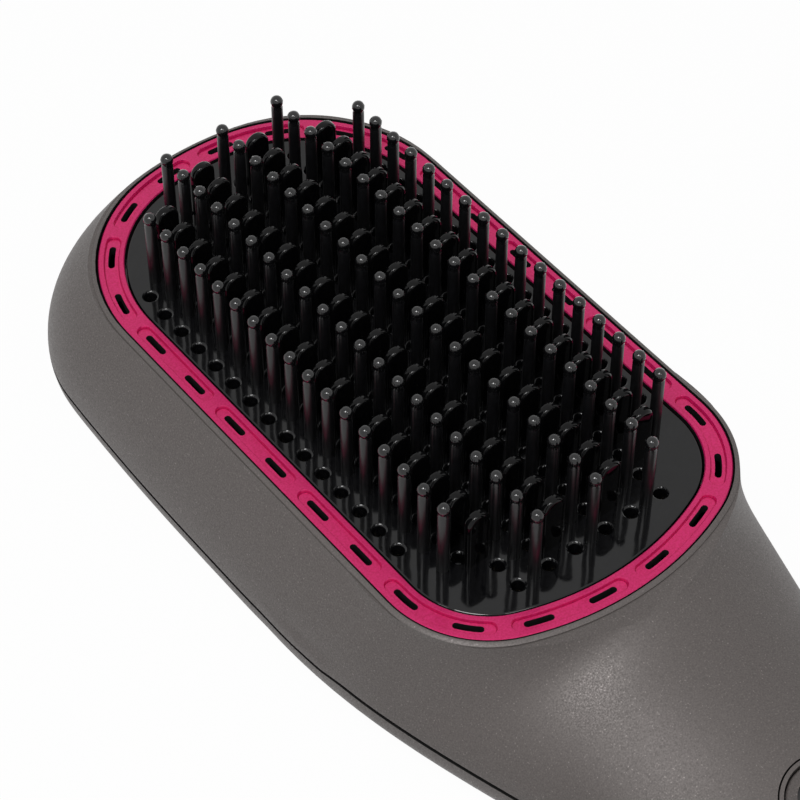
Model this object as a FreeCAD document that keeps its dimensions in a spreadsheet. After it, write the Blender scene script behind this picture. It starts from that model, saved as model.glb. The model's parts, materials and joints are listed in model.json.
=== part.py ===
import FreeCAD, Part
import math
import os
import re
from types import SimpleNamespace

import Sketcher
from FreeCAD import Rotation, Vector

# A heated hair straightening brush that lies on its back, bristles up.
# The origin is on the flat back, under the middle of the bristle field.
# +Z points the way the bristles do, +Y to the brush's tip, and the handle runs to -Y.
# All sizes are in millimetres.

SIZES = {
    # Heights above the surface that the brush lies on
    "rim_height": 30.0,
    "seam_height": 10.0,
    "seam_gap": 0.3,
    "wall": 2.2,
    "back_round": 8.0,
    # The vent ring's outer outline: straight sides, round corners and bowed ends
    "ring_half_width": 30.0,
    "ring_tip": 56.0,
    "ring_root": 57.0,
    "end_radius": 50.0,
    "tip_corner": 24.0,
    "root_corner": 19.5,
    # How far the head's wall stands outside the ring at the rim, half way down and at the seam
    "rim_width": 1.6,
    "belly_flare": 6.4,
    "seam_flare": 8.3,
    "root_flare": 3.5,
    # The vent ring, with slots in pairs inside shallow recesses
    "ring_width": 4.2,
    "ring_thickness": 2.2,
    "ring_gap": 0.2,
    "ledge_width": 1.2,
    "ledge_thickness": 2.0,
    "slot_length": 4.6,
    "slot_width": 1.0,
    "slot_pairs": 14,
    "recess_length": 17.9,
    "recess_width": 2.3,
    "recess_depth": 0.3,
    # The tooth plate and what stands on it
    "plate_drop": 0.3,
    "plate_thickness": 2.4,
    "plate_gap": 0.2,
    "row_pitch": 4.5,
    "row_count": 21,
    "short_row_count": 17,
    "column_pitch": 10.7,
    "outer_column_pitch": 9.5,
    "pin_length": 14.2,
    "pin_radius": 0.75,
    "ball_radius": 0.9,
    "tooth_height": 10.3,
    "tooth_width": 3.8,
    "tooth_thickness": 1.9,
    "tooth_chamfer": 0.6,
    "hole_radius": 1.1,
    "hole_column": 23.8,
    "hole_stagger": 1.6,
    "hole_beside_pin": 2.9,
    # Neck and handle
    "neck_start": 26.0,
    "neck_end": 106.0,
    "neck_half_width": 36.8,
    "neck_top": 29.5,
    "fall_start": 56.0,
    "fall_end": 98.0,
    "neck_lap": 10.0,
    "passage_half_width": 13.0,
    "passage_length": 10.4,
    "neck_side": 1.0,
    "neck_corner": 11.0,
    "handle_half_width": 17.0,
    "handle_top": 23.7,
    "handle_side": 5.0,
    "handle_corner": 7.0,
    "handle_end": 220.0,
    "end_length": 8.0,
    "end_wall": 5.7,
    "end_shrink": 0.8,
    # Under the plate: gasket, carrier tray, heaters and their clamp
    "gasket_width": 1.4,
    "gasket_thickness": 0.8,
    "gasket_inset": 0.2,
    "tray_wall": 2.0,
    "tray_floor": 2.0,
    "tray_gap": 0.2,
    "tray_window_half": 14.0,
    "tray_window_length": 72.0,
    "tab_width": 8.0,
    "tab_reach": 2.6,
    "tab_y": 28.0,
    "heater_length": 60.0,
    "heater_width": 12.0,
    "heater_thickness": 4.0,
    "heater_x": 8.0,
    "clamp_width": 36.0,
    "clamp_length": 72.0,
    "clamp_thickness": 1.0,
    "sheet_gap": 0.4,
    "sheet_thickness": 0.5,
    "sensor_width": 3.0,
    "sensor_length": 6.0,
    "sensor_thickness": 3.0,
    "sensor_y": 12.0,
    "fuse_width": 3.4,
    "fuse_length": 12.0,
    "fuse_thickness": 3.0,
    "fuse_y": 14.0,
    # Controls on the handle's front
    "power_y": 96.8,
    "power_radius": 6.75,
    "power_rise": 0.3,
    "bezel_radius": 7.8,
    "bezel_gap": 0.1,
    "bezel_height": 1.4,
    "key_radius": 4.0,
    "key_rise": 0.4,
    "key_up_y": 126.0,
    "key_down_y": 138.5,
    "key_gap": 0.1,
    "flange_width": 1.0,
    "flange_height": 0.8,
    "flange_drop": 1.2,
    "button_travel": 0.5,
    "lens_y": 112.0,
    "lens_length": 12.0,
    "lens_width": 3.0,
    "lens_gap": 0.1,
    # Control board
    "board_top": 16.0,
    "board_thickness": 1.6,
    "board_width": 22.0,
    "board_start": 84.0,
    "board_end": 178.0,
    "board_screw_front": 88.0,
    "board_screw_back": 172.0,
    "switch_size": 6.0,
    "plunger_radius": 1.6,
    "plunger_height": 0.6,
    "switch_slack": 0.1,
    "led_size": 1.4,
    "led_height": 0.8,
    "led_pitch": 2.3,
    "led_count": 5,
    "capacitor_y": 148.0,
    "capacitor_length": 15.0,
    "capacitor_width": 12.0,
    "capacitor_height": 8.0,
    "triac_y": 118.0,
    "triac_length": 15.0,
    "triac_width": 10.0,
    "triac_height": 4.6,
    # Screws, bosses and posts
    "screw_radius": 1.3,
    "screw_head_radius": 2.3,
    "screw_head_height": 1.6,
    "screw_seat": 5.0,
    "screw_length": 12.0,
    "small_screw_radius": 1.0,
    "small_head_radius": 1.9,
    "small_head_height": 1.4,
    "frame_screw_length": 5.0,
    "board_screw_length": 6.0,
    "screw_clearance": 0.06,
    "head_clearance": 0.24,
    "boss_radius": 3.2,
    "frame_boss_radius": 2.4,
    "tip_screw_y": 57.6,
    "neck_screw_x": 17.0,
    "neck_screw_y": 66.0,
    "end_screw_x": 9.4,
    "end_screw_y": 199.0,
    # Leads
    "heater_lead_radius": 0.8,
    "sensor_lead_radius": 0.45,
    "sensor_lead_x": 1.0,
    "mains_lead_radius": 0.9,
    "mains_lead_x": 1.3,
    "heater_lead_drop": 3.0,
    "sensor_lead_drop": 2.4,
    "lead_landing": 10.0,
    "lead_notch": 4.0,
    # Cord swivel in the handle's end
    "swivel_flange_radius": 5.8,
    "swivel_flange_length": 2.5,
    "swivel_neck_radius": 4.5,
    "swivel_barrel_radius": 5.6,
    "swivel_barrel_length": 10.0,
    "swivel_bore_radius": 3.1,
    "swivel_gap": 0.1,
    "swivel_end_gap": 0.35,
    "rib_thickness": 2.0,
    "rib_height": 17.0,
    "rib_bore_radius": 2.7,
}

doc = FreeCAD.newDocument("StraighteningBrush")


def make_sheet():
    sheet = doc.addObject("Spreadsheet::Sheet", "Sizes")
    for row, (name, value) in enumerate(SIZES.items(), start=1):
        sheet.set(f"A{row}", name)
        sheet.set(f"B{row}", str(value))
        sheet.setAlias(f"B{row}", name)
    doc.recompute()
    return sheet


sheet = make_sheet()
size = SimpleNamespace(**{name: float(sheet.get(name)) for name in SIZES})
pieces = []


# Expressions and document objects

def expression(text):
    """An expression on the sheet, from one written with the bare size names."""
    return re.sub(r"[a-z]\w*", lambda word: "Sizes." + word.group(0), text)


def bind(item, **texts):
    for name, text in texts.items():
        item.setExpression(name, expression(text))
    return item


def place(item, x="0", y="0", z="0"):
    item.setExpression("Placement.Base.x", expression(x))
    item.setExpression("Placement.Base.y", expression(y))
    item.setExpression("Placement.Base.z", expression(z))
    return item


def keep(item, label):
    item.Label = label
    pieces.append(item)
    return item


def feature(label, shape):
    item = doc.addObject("Part::Feature", label)
    item.Shape = shape
    item.Placement = FreeCAD.Placement()
    return keep(item, label)


def block(name, x, y, z, length, width, height):
    """A box centred on x and y that stands on z."""
    item = doc.addObject("Part::Box", name)
    bind(item, Length=length, Width=width, Height=height)
    return place(item, f"({x}) - ({length}) / 2", f"({y}) - ({width}) / 2", z)


def rod(name, x, y, z, radius, height):
    item = doc.addObject("Part::Cylinder", name)
    bind(item, Radius=radius, Height=height)
    return place(item, x, y, z)


SCREW_SIDES = 6


def prism(name, x, y, z, radius, height):
    """A hexagon in place of a rod, where a screw's threads would be too fine to model."""
    item = doc.addObject("Part::Prism", name)
    item.Polygon = SCREW_SIDES
    bind(item, Circumradius=radius, Height=height)
    return place(item, x, y, z)


def group(label, items):
    item = doc.addObject("Part::Compound", label)
    item.Links = items
    return keep(item, label)


def fuse(name, items):
    item = doc.addObject("Part::MultiFuse", name)
    item.Shapes = items
    return item


def cut(name, base, tool):
    item = doc.addObject("Part::Cut", name)
    item.Base = base
    item.Tool = tool
    return item


def rod_along_y(name, y, radius, length, z):
    """A cylinder that starts at y and runs to -Y."""
    item = doc.addObject("Part::Cylinder", name)
    bind(item, Radius=radius, Height=length)
    item.Placement = FreeCAD.Placement(Vector(), Rotation(Vector(1, 0, 0), 90))
    return place(item, "0", y, z)


def capped_rod(name, x, y, z, radius, height, chamfer):
    """A cylinder whose upper edge is chamfered."""
    shank = rod(name + "_shank", x, y, z, radius, f"({height}) - ({chamfer})")
    crown = doc.addObject("Part::Cone", name + "_crown")
    bind(crown, Radius1=radius, Radius2=f"({radius}) - ({chamfer})", Height=chamfer)
    place(crown, x, y, f"({z}) + ({height}) - ({chamfer})")
    return [shank, crown]


SKETCH_START = 5.0


def sheet_body(label, width, length, thickness, x, y, z):
    """A PartDesign pad of a rectangle that is centred on x and y and stands on z."""
    body = doc.addObject("PartDesign::Body", label)
    sketch = body.newObject("Sketcher::SketchObject", label + "_outline")
    plane = next(item for item in body.Origin.OriginFeatures if item.Role == "XY_Plane")
    sketch.AttachmentSupport = [(plane, "")]
    sketch.MapMode = "FlatFace"
    signs = [(-1, -1), (1, -1), (1, 1), (-1, 1)]
    corners = [Vector(x_sign, y_sign) * SKETCH_START for x_sign, y_sign in signs]
    for i in range(4):
        sketch.addGeometry(Part.LineSegment(corners[i], corners[(i + 1) % 4]), False)
        kind = ("Horizontal", "Vertical")[i % 2]
        sketch.addConstraint(Sketcher.Constraint(kind, i))
    for i in range(4):
        sketch.addConstraint(Sketcher.Constraint("Coincident", i, 2, (i + 1) % 4, 1))
    sketch.addConstraint(Sketcher.Constraint("Symmetric", 0, 1, 2, 1, -1, 1))
    for kind, line, text in (("DistanceX", 0, width), ("DistanceY", 1, length)):
        index = sketch.addConstraint(Sketcher.Constraint(kind, line, 1, line, 2, 2 * SKETCH_START))
        sketch.setExpression(f"Constraints[{index}]", expression(text))
    pad = body.newObject("PartDesign::Pad", label + "_pad")
    pad.Profile = sketch
    bind(pad, Length=thickness)
    body.Tip = pad
    return place(body, x, y, z)


# Outlines and forms of the head and the handle

# Outside the ring, a tip corner's radius grows by this share of the offset, which keeps the corner full
TIP_GROWTH = 0.3


def head_outline(offset, root_offset, z):
    """The ring's outer outline, moved outwards by offset, and by root_offset at the handle's end."""
    half = size.ring_half_width + offset
    end_radius = size.end_radius + offset
    tip_corner = size.tip_corner + offset * (TIP_GROWTH if offset > 0 else 1)
    corners = {}
    for side, reach, corner in (
        (1, size.ring_tip + offset, tip_corner),
        (-1, size.ring_root + root_offset, size.root_corner + offset),
    ):
        end_centre = Vector(0, side * (reach - end_radius), z)
        across = half - corner
        along = math.sqrt((end_radius - corner) ** 2 - across ** 2)
        centre = end_centre + Vector(across, side * along, 0)
        reach_way = (centre - end_centre).normalize()
        middle_way = (reach_way + Vector(1, 0, 0)).normalize()
        corners[side] = (
            centre + Vector(corner, 0, 0),
            centre + middle_way * corner,
            centre + reach_way * corner,
            end_centre + Vector(0, side * end_radius, 0),
        )
    tip_side, tip_middle, tip_end, tip_crown = corners[1]
    root_side, root_middle, root_end, root_crown = corners[-1]

    def other(point):
        return Vector(-point.x, point.y, point.z)

    return Part.Wire([
        Part.LineSegment(root_side, tip_side).toShape(),
        Part.Arc(tip_side, tip_middle, tip_end).toShape(),
        Part.Arc(tip_end, tip_crown, other(tip_end)).toShape(),
        Part.Arc(other(tip_end), other(tip_middle), other(tip_side)).toShape(),
        Part.LineSegment(other(tip_side), other(root_side)).toShape(),
        Part.Arc(other(root_side), other(root_middle), other(root_end)).toShape(),
        Part.Arc(other(root_end), root_crown, root_end).toShape(),
        Part.Arc(root_end, root_middle, root_side).toShape(),
    ])


def head_prism(offset, low, high):
    face = Part.Face(head_outline(offset, offset, low))
    return face.extrude(Vector(0, 0, high - low))


def blend(value, start, end):
    """0 before start, 1 after end and a smooth half wave between them."""
    share = min(max((value - start) / (end - start), 0.0), 1.0)
    return 0.5 - 0.5 * math.cos(math.pi * share)


def flare(z):
    """How far the head's wall stands outside the ring's outline at a height over the seam."""
    share = (z - size.seam_height) / (size.rim_height - size.seam_height)
    bend = 2 * (size.seam_flare + size.rim_width - 2 * size.belly_flare)
    slope = size.rim_width - size.seam_flare - bend
    root_slope = size.rim_width - size.root_flare
    return (
        size.seam_flare + slope * share + bend * share ** 2,
        size.root_flare + root_slope * share,
    )


def neck_half_width(y):
    fall = blend(-y, size.neck_start, size.neck_end)
    return size.neck_half_width + (size.handle_half_width - size.neck_half_width) * fall


def neck_top(y):
    fall = blend(-y, size.fall_start, size.fall_end)
    return size.neck_top + (size.handle_top - size.neck_top) * fall


NECK_STEPS = 6
HULL_STEPS = 4
ARC_STEPS = 3
END_STEPS = ((0.0, 0.0), (0.65, 1 / 3), (1.0, 1.0))
TINY = 1e-6


def polyline(points):
    """A closed wire through the points, without repeated ones."""
    kept = [points[0]]
    for point in points[1:]:
        if point.distanceToPoint(kept[-1]) > TINY:
            kept.append(point)
    return Part.makePolygon(kept + kept[:1])


def faceted(wire):
    """The wire with each of its arcs as a few straight runs."""
    points = []
    for edge in wire.OrderedEdges:
        straight = isinstance(edge.Curve, Part.Line)
        run = edge.discretize(2 if straight else ARC_STEPS + 1)
        if edge.Orientation == "Reversed":
            run = run[::-1]
        points += run[:-1]
    return polyline(points)


def dome_wire(y, inset, scale, base):
    """The front half of the section: short sides, two corner arcs and a flatter arc on top."""
    fall = blend(-y, size.fall_start, size.neck_end)
    half = (neck_half_width(y) - inset) * scale
    rise = (neck_top(y) - size.seam_height - inset) * scale
    side = (size.neck_side + (size.handle_side - size.neck_side) * fall) * scale
    corner = (size.neck_corner + (size.handle_corner - size.neck_corner) * fall - inset) * scale
    bow = rise - side
    top_radius = (half ** 2 + bow ** 2 - 2 * half * corner) / (2 * (bow - corner))
    shoulder = size.seam_height + side
    corner_centre = Vector(half - corner, y, shoulder)
    top_centre = Vector(0, y, size.seam_height + rise - top_radius)
    outward = (corner_centre - top_centre).normalize()
    halfway = (outward + Vector(1, 0, 0)).normalize()
    right = [
        Vector(half, y, base),
        Vector(half, y, shoulder),
        corner_centre + halfway * corner,
        corner_centre + outward * corner,
    ]
    left = [Vector(-point.x, y, point.z) for point in right]
    crown = Vector(0, y, size.seam_height + rise)
    return Part.Wire([
        Part.LineSegment(right[0], right[1]).toShape(),
        Part.Arc(right[1], right[2], right[3]).toShape(),
        Part.Arc(right[3], crown, left[3]).toShape(),
        Part.Arc(left[3], left[2], left[1]).toShape(),
        Part.LineSegment(left[1], left[0]).toShape(),
        Part.LineSegment(left[0], right[0]).toShape(),
    ])


def hull_wire(y, inset, scale, top):
    """The back half of the section: flat below, with rounded edges in a few flat facets."""
    half = (neck_half_width(y) - inset) * scale
    across = size.back_round * scale
    rise = (size.seam_height - inset) * scale
    right = [Vector(half, y, top)]
    for i in range(HULL_STEPS + 1):
        angle = math.pi / 2 * i / HULL_STEPS
        x = half - across + across * math.cos(angle)
        right.append(Vector(x, y, size.seam_height - rise * math.sin(angle)))
    left = [Vector(-point.x, y, point.z) for point in reversed(right)]
    return polyline(right + left)


def hollow_wire(y, inset, scale, base):
    return faceted(dome_wire(y, inset, scale, base))


def handle_form(wire, inset, edge, start, end):
    """The neck, the straight grip and the grip's short shrinking end, along -Y."""
    shoulder = end - size.end_length
    step = (size.neck_end - start) / NECK_STEPS
    sections = [wire(-(start + step * i), inset, 1.0, edge) for i in range(NECK_STEPS + 1)]
    neck = Part.makeLoft(sections, True, wire is not dome_wire)
    grip = Part.Face(sections[-1]).extrude(Vector(0, size.neck_end - shoulder, 0))
    cap = Part.makeLoft([
        wire(-(shoulder + share * size.end_length), inset, 1 - shrink * (1 - size.end_shrink), edge)
        for share, shrink in END_STEPS
    ], True, True)
    return neck.fuse([grip, cap])


CUT_MARGIN = 1.0
BOSS_LAP = 0.5
SCREW_TIP_ROOM = 0.25


POST_SIDES = 12


def polygon(x, y, z, radius, sides):
    points = []
    for i in range(sides):
        angle = 2 * math.pi * (i + 0.5) / sides
        points.append(Vector(x + radius * math.cos(angle), y + radius * math.sin(angle), z))
    return points


def upright(x, y, radius, low, high):
    return Part.makeCylinder(radius, high - low, Vector(x, y, low))


def post(x, y, radius, low, high):
    """An upright with flat sides that lie outside the radius: a boss, or a hole for a screw."""
    reach = radius / math.cos(math.pi / POST_SIDES)
    face = Part.Face(polyline(polygon(x, y, low, reach, POST_SIDES)))
    return face.extrude(Vector(0, 0, high - low))


def housing_screw_places():
    return [
        (0.0, size.tip_screw_y),
        (size.neck_screw_x, -size.neck_screw_y),
        (-size.neck_screw_x, -size.neck_screw_y),
        (size.end_screw_x, -size.end_screw_y),
        (-size.end_screw_x, -size.end_screw_y),
    ]


def frame_screw_places():
    x = size.ring_half_width
    return [(x, size.tab_y), (-x, size.tab_y), (x, -size.tab_y), (-x, -size.tab_y)]


def tray_top():
    """The height of the tray's floor, under insulation sheet, clamp, heaters and plate."""
    stack = size.heater_thickness + size.clamp_thickness + size.sheet_thickness
    return size.rim_height - size.plate_drop - size.plate_thickness - stack


def swivel_bore():
    radius = size.swivel_neck_radius + size.swivel_gap
    start = Vector(0, -(size.handle_end + CUT_MARGIN), size.seam_height)
    return Part.makeCylinder(radius, size.end_wall + 2 * CUT_MARGIN, start, Vector(0, 1, 0))


def long_slot(y, length, width, low, high):
    """A slot along Y with round ends, centred on the handle's middle line."""
    run = (length - width) / 2
    slab = Part.makeBox(width, 2 * run, high - low, Vector(-width / 2, y - run, low))
    ends = [upright(0, y + way * run, width / 2, low, high) for way in (1, -1)]
    return slab.fuse(ends)


def control_cuts():
    """Bores and slots in the handle's front for bezel, buttons and indicator lens."""
    low = size.seam_height
    high = size.rim_height + CUT_MARGIN
    seat = size.handle_top - size.bezel_height
    key_bore = size.key_radius + size.key_gap
    return [
        upright(0, -size.power_y, size.power_radius + size.bezel_gap, low, high),
        upright(0, -size.power_y, size.bezel_radius + size.lens_gap, seat, high),
        upright(0, -size.key_up_y, key_bore, low, high),
        upright(0, -size.key_down_y, key_bore, low, high),
        long_slot(
            -size.lens_y, size.lens_length + 2 * size.lens_gap,
            size.lens_width + 2 * size.lens_gap, low, high,
        ),
    ]


def head_form(low, high):
    outlines = []
    for z in (low, (low + high) / 2, high):
        side, root = flare(z)
        outlines.append(head_outline(side, root, z))
    return Part.makeLoft(outlines, True, False)


def head_hollow(low, high):
    outlines = []
    for z in (low, tray_top(), high):
        side, root = flare(z)
        outlines.append(faceted(head_outline(side - size.wall, root - size.wall, z)))
    return Part.makeLoft(outlines, True, True)


def front_housing():
    seam = size.seam_height
    rim = size.rim_height
    seat = rim - size.ring_thickness
    ledge = seat - size.ledge_thickness
    below = seam - CUT_MARGIN
    neck_inside = size.ring_root + size.rim_width + size.wall
    outer = head_form(seam, rim).fuse(
        handle_form(dome_wire, 0, seam, size.fall_start - size.neck_lap, size.handle_end)
    )
    neck_hollow = handle_form(
        hollow_wire, size.wall, below, neck_inside, size.handle_end - size.end_wall
    )
    passage = Part.makeBox(
        2 * size.passage_half_width, size.passage_length, ledge - below,
        Vector(-size.passage_half_width, -neck_inside - size.wall, below),
    )
    shell = outer.cut([head_hollow(below, ledge), neck_hollow, passage])

    bosses = [
        post(x, y, size.boss_radius, seam, rim).common(outer)
        for x, y in housing_screw_places()
    ]
    bosses += [
        post(x, y, size.frame_boss_radius, tray_top(), ledge + BOSS_LAP)
        for x, y in frame_screw_places()
    ]
    shell = shell.fuse(bosses)
    pilots = [
        post(x, y, size.screw_radius + size.screw_clearance, below,
             size.screw_seat + size.screw_length + CUT_MARGIN)
        for x, y in housing_screw_places()
    ]
    pilots += [
        post(x, y, size.small_screw_radius + size.screw_clearance, tray_top() - CUT_MARGIN,
             tray_top() - size.tray_floor + size.frame_screw_length + SCREW_TIP_ROOM)
        for x, y in frame_screw_places()
    ]
    openings = [
        head_prism(-size.ledge_width, ledge - CUT_MARGIN, rim + CUT_MARGIN),
        head_prism(size.ring_gap, seat, rim + CUT_MARGIN),
    ]
    shell = shell.cut(pilots + openings + control_cuts() + [swivel_bore()])
    return feature("front_housing", shell)


BACK_ANGLES = (0, 30, 50, 70, 90)


def back_outline(drawn_in, z):
    return head_outline(size.seam_flare - drawn_in, size.root_flare - drawn_in, z)


def back_head_outlines(inset):
    """The head's back half: outlines that draw in along a quarter ellipse to the flat back."""
    rise = size.seam_height - inset
    outlines = []
    for angle in BACK_ANGLES:
        turn = math.radians(angle)
        drawn_in = inset + size.back_round * (1 - math.cos(turn))
        outlines.append(back_outline(drawn_in, size.seam_height - rise * math.sin(turn)))
    return outlines


def rear_cover():
    seam = size.seam_height
    above = seam + CUT_MARGIN
    neck_start = size.fall_start - size.neck_lap
    outer = Part.makeLoft(back_head_outlines(0), True, True).fuse(
        handle_form(hull_wire, 0, seam, neck_start, size.handle_end)
    )
    inner = [back_outline(size.wall, above)] + back_head_outlines(size.wall)
    hollow = Part.makeLoft([faceted(wire) for wire in inner], True, True).fuse(
        handle_form(hull_wire, size.wall, above, neck_start, size.handle_end - size.end_wall)
    )
    reach = size.handle_end + size.ring_tip
    gap = Part.makeBox(2 * reach, 2 * reach, above, Vector(-reach, -reach, seam - size.seam_gap))
    shell = outer.cut([hollow, gap])

    posts = [
        post(x, y, size.boss_radius, size.wall / 2, seam) for x, y in housing_screw_places()
    ]
    board_back = size.board_top - size.board_thickness
    board_places = [-size.board_screw_front, -size.board_screw_back]
    posts += [post(0, y, size.boss_radius, size.wall / 2, board_back) for y in board_places]
    rib_y = -(size.handle_end - size.end_wall - size.swivel_flange_length
              - 2 * size.swivel_end_gap)
    rib_half = size.handle_half_width - size.back_round
    posts.append(Part.makeBox(
        2 * rib_half, size.rib_thickness, size.rib_height - size.wall / 2,
        Vector(-rib_half, rib_y, size.wall / 2),
    ))
    shell = shell.fuse(posts)

    holes = []
    for x, y in housing_screw_places():
        holes.append(post(x, y, size.screw_head_radius + size.head_clearance,
                          -CUT_MARGIN, size.screw_seat))
        holes.append(post(x, y, size.screw_radius + size.screw_clearance, 0, above))
    for y in board_places:
        holes.append(post(0, y, size.small_screw_radius + size.screw_clearance,
                          size.board_top - size.board_screw_length - SCREW_TIP_ROOM,
                          size.board_top))
    holes.append(Part.makeCylinder(
        size.rib_bore_radius, size.rib_thickness + 2 * CUT_MARGIN,
        Vector(0, rib_y - CUT_MARGIN, seam), Vector(0, 1, 0),
    ))
    shell = shell.cut(holes + [swivel_bore()])
    return feature("rear_cover", shell)


# The vent ring

BAND_STEPS = 4
CAP_STEPS = 3


def on_path(path, length):
    """Point and direction at this length along a closed path."""
    left = length % path.Length
    for edge in path.Edges:
        if left <= edge.Length:
            parameter = edge.getParameterByLength(left)
            return edge.valueAt(parameter), edge.tangentAt(parameter)
        left -= edge.Length
    raise ValueError("length is beyond the path's end")


def band_cap(path, length, width, way):
    """Points of a half round across the path, facing along it where way is 1."""
    middle, along = on_path(path, length)
    ahead = along * way
    side = Vector(ahead.y, -ahead.x, 0)
    turns = [math.pi * i / CAP_STEPS for i in range(CAP_STEPS + 1)]
    return [middle + (side * math.cos(t) + ahead * math.sin(t)) * (width / 2) for t in turns]


def band(path, middle, length, width, low, high):
    """A flat-faceted stadium of this length and width that follows the path, as a solid."""
    run = (length - width) / 2
    inner = []
    outer = []
    for i in range(1, BAND_STEPS):
        point, along = on_path(path, middle + run * (2 * i / BAND_STEPS - 1))
        side = Vector(along.y, -along.x, 0) * (width / 2)
        outer.append(point + side)
        inner.append(point - side)
    points = outer + band_cap(path, middle + run, width, 1)
    points += inner[::-1] + band_cap(path, middle - run, width, -1)
    face = Part.Face(Part.makePolygon(points + points[:1]))
    face.translate(Vector(0, 0, low - size.rim_height))
    return face.extrude(Vector(0, 0, high - low))


def vent_ring():
    rim = size.rim_height
    low = rim - size.ring_thickness
    ring = head_prism(0, low, rim).cut(head_prism(-size.ring_width, low, rim))
    path = head_outline(-size.ring_width / 2, -size.ring_width / 2, rim)
    edges = path.Edges
    root_crown = path.Length - edges[-1].Length - edges[-2].Length / 2
    pair_step = path.Length / size.slot_pairs
    above = rim + CUT_MARGIN
    cuts = []
    for pair in range(int(size.slot_pairs)):
        middle = root_crown + (pair + 0.5) * pair_step - path.Length
        cuts.append(band(path, middle, size.recess_length, size.recess_width,
                         rim - size.recess_depth, above))
        for way in (-1, 1):
            cuts.append(band(path, middle + way * pair_step / 4, size.slot_length,
                             size.slot_width, low - CUT_MARGIN, above))
    return feature("vent_ring", ring.cut(cuts))


# The plate, its pins and its teeth

HOLE_SIDES = 6
PIN_SIDES = 5
BALL_NECK = 0.7
BALL_CROWN = 0.8
CROWN_RADIUS = 0.5


def column_places():
    inner = size.column_pitch
    outer = inner + size.outer_column_pitch
    return [(-outer, True), (-inner, False), (0.0, False), (inner, False), (outer, True)]


def row_places(count):
    """Rows on both sides of the field's middle, a pitch apart."""
    return [(i - (count - 1) / 2) * size.row_pitch for i in range(int(count))]


def facet_solid(rings):
    """A closed solid of flat facets over rings that have the same number of points."""
    count = len(rings[0])
    faces = [Part.Face(polyline(rings[0])), Part.Face(polyline(rings[-1]))]
    for low, high in zip(rings, rings[1:]):
        for i in range(count):
            j = (i + 1) % count
            for corners in ([low[i], low[j], high[j]], [low[i], high[j], high[i]]):
                faces.append(Part.Face(polyline(corners)))
    return Part.makeSolid(Part.makeShell(faces))


def plate_top():
    return size.rim_height - size.plate_drop


def vent_holes():
    """Holes beside the outer pins, and beside the pins of both end rows."""
    places = []
    for side in (-1, 1):
        places += [
            (side * size.hole_column, y + size.hole_stagger)
            for y in row_places(size.short_row_count - 2)
        ]
        end_row = row_places(size.row_count)[0 if side < 0 else -1]
        for x, outer in column_places():
            if not outer:
                places += [(x + size.hole_beside_pin, end_row), (x - size.hole_beside_pin, end_row)]
    return places


def tooth_plate():
    top = plate_top()
    low = top - size.plate_thickness
    plate = head_prism(-size.ring_width - size.plate_gap, low, top)
    holes = []
    for x, y in vent_holes():
        corners = polygon(x, y, low - CUT_MARGIN, size.hole_radius, HOLE_SIDES)
        face = Part.Face(polyline(corners))
        holes.append(face.extrude(Vector(0, 0, size.plate_thickness + 2 * CUT_MARGIN)))
    return feature("tooth_plate", plate.cut(holes))


def pin_at(x, y):
    """A pin with a ball on its end, in flat facets."""
    foot = plate_top()
    middle = foot + size.pin_length
    neck = middle - BALL_NECK * size.ball_radius
    crown = middle + BALL_CROWN * size.ball_radius
    return facet_solid([
        polygon(x, y, foot, size.pin_radius, PIN_SIDES),
        polygon(x, y, neck, size.pin_radius, PIN_SIDES),
        polygon(x, y, middle, size.ball_radius, PIN_SIDES),
        polygon(x, y, crown, size.ball_radius * CROWN_RADIUS, PIN_SIDES),
    ])


def bristle_pins():
    pins = []
    for x, outer in column_places():
        count = size.short_row_count if outer else size.row_count
        pins += [pin_at(x, y) for y in row_places(count)]
    return feature("bristle_pins", Part.makeCompound(pins))


def tooth_outline(x, y, z, inset):
    """Six corners of a flat tooth that comes to a blunt edge at both sides."""
    half = size.tooth_width / 2 - inset
    deep = size.tooth_thickness / 2 - inset
    flat = half - deep
    corners = [(half, 0), (flat, deep), (-flat, deep), (-half, 0), (-flat, -deep), (flat, -deep)]
    return [Vector(x + across, y + along, z) for across, along in corners]


def tooth_at(x, y):
    """A flat tooth, wide across the brush, whose upper edge is bevelled all round."""
    foot = plate_top()
    crown = foot + size.tooth_height
    return facet_solid([
        tooth_outline(x, y, foot, 0),
        tooth_outline(x, y, crown - size.tooth_chamfer, 0),
        tooth_outline(x, y, crown, size.tooth_chamfer),
    ])


def heating_teeth():
    """Teeth in the spaces between the pins, half a row nearer to the brush's tip."""
    inner = size.column_pitch / 2
    outer = size.column_pitch + size.outer_column_pitch / 2
    teeth = []
    for x, count in ((inner, size.row_count - 1), (outer, size.short_row_count + 1)):
        for y in row_places(count):
            shift = 0.0 if count % 2 == 0 else size.row_pitch / 2
            teeth += [tooth_at(x, y + shift), tooth_at(-x, y + shift)]
    return feature("heating_teeth", Part.makeCompound(teeth))


# Under the plate

PLATE_BACK = "rim_height - plate_drop - plate_thickness"
CLAMP_TOP = PLATE_BACK + " - heater_thickness"
SHEET_TOP = CLAMP_TOP + " - clamp_thickness"
TRAY_TOP = SHEET_TOP + " - sheet_thickness"
TRAY_BACK = TRAY_TOP + " - tray_floor"


def plate_gasket():
    """A silicone frame between the plate's edge and the tray's wall."""
    high = plate_top() - size.plate_thickness
    edge = -(size.ring_width + size.plate_gap + size.gasket_inset)
    low = high - size.gasket_thickness
    inner = head_prism(edge - size.gasket_width, low, high)
    return feature("plate_gasket", head_prism(edge, low, high).cut(inner))


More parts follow.
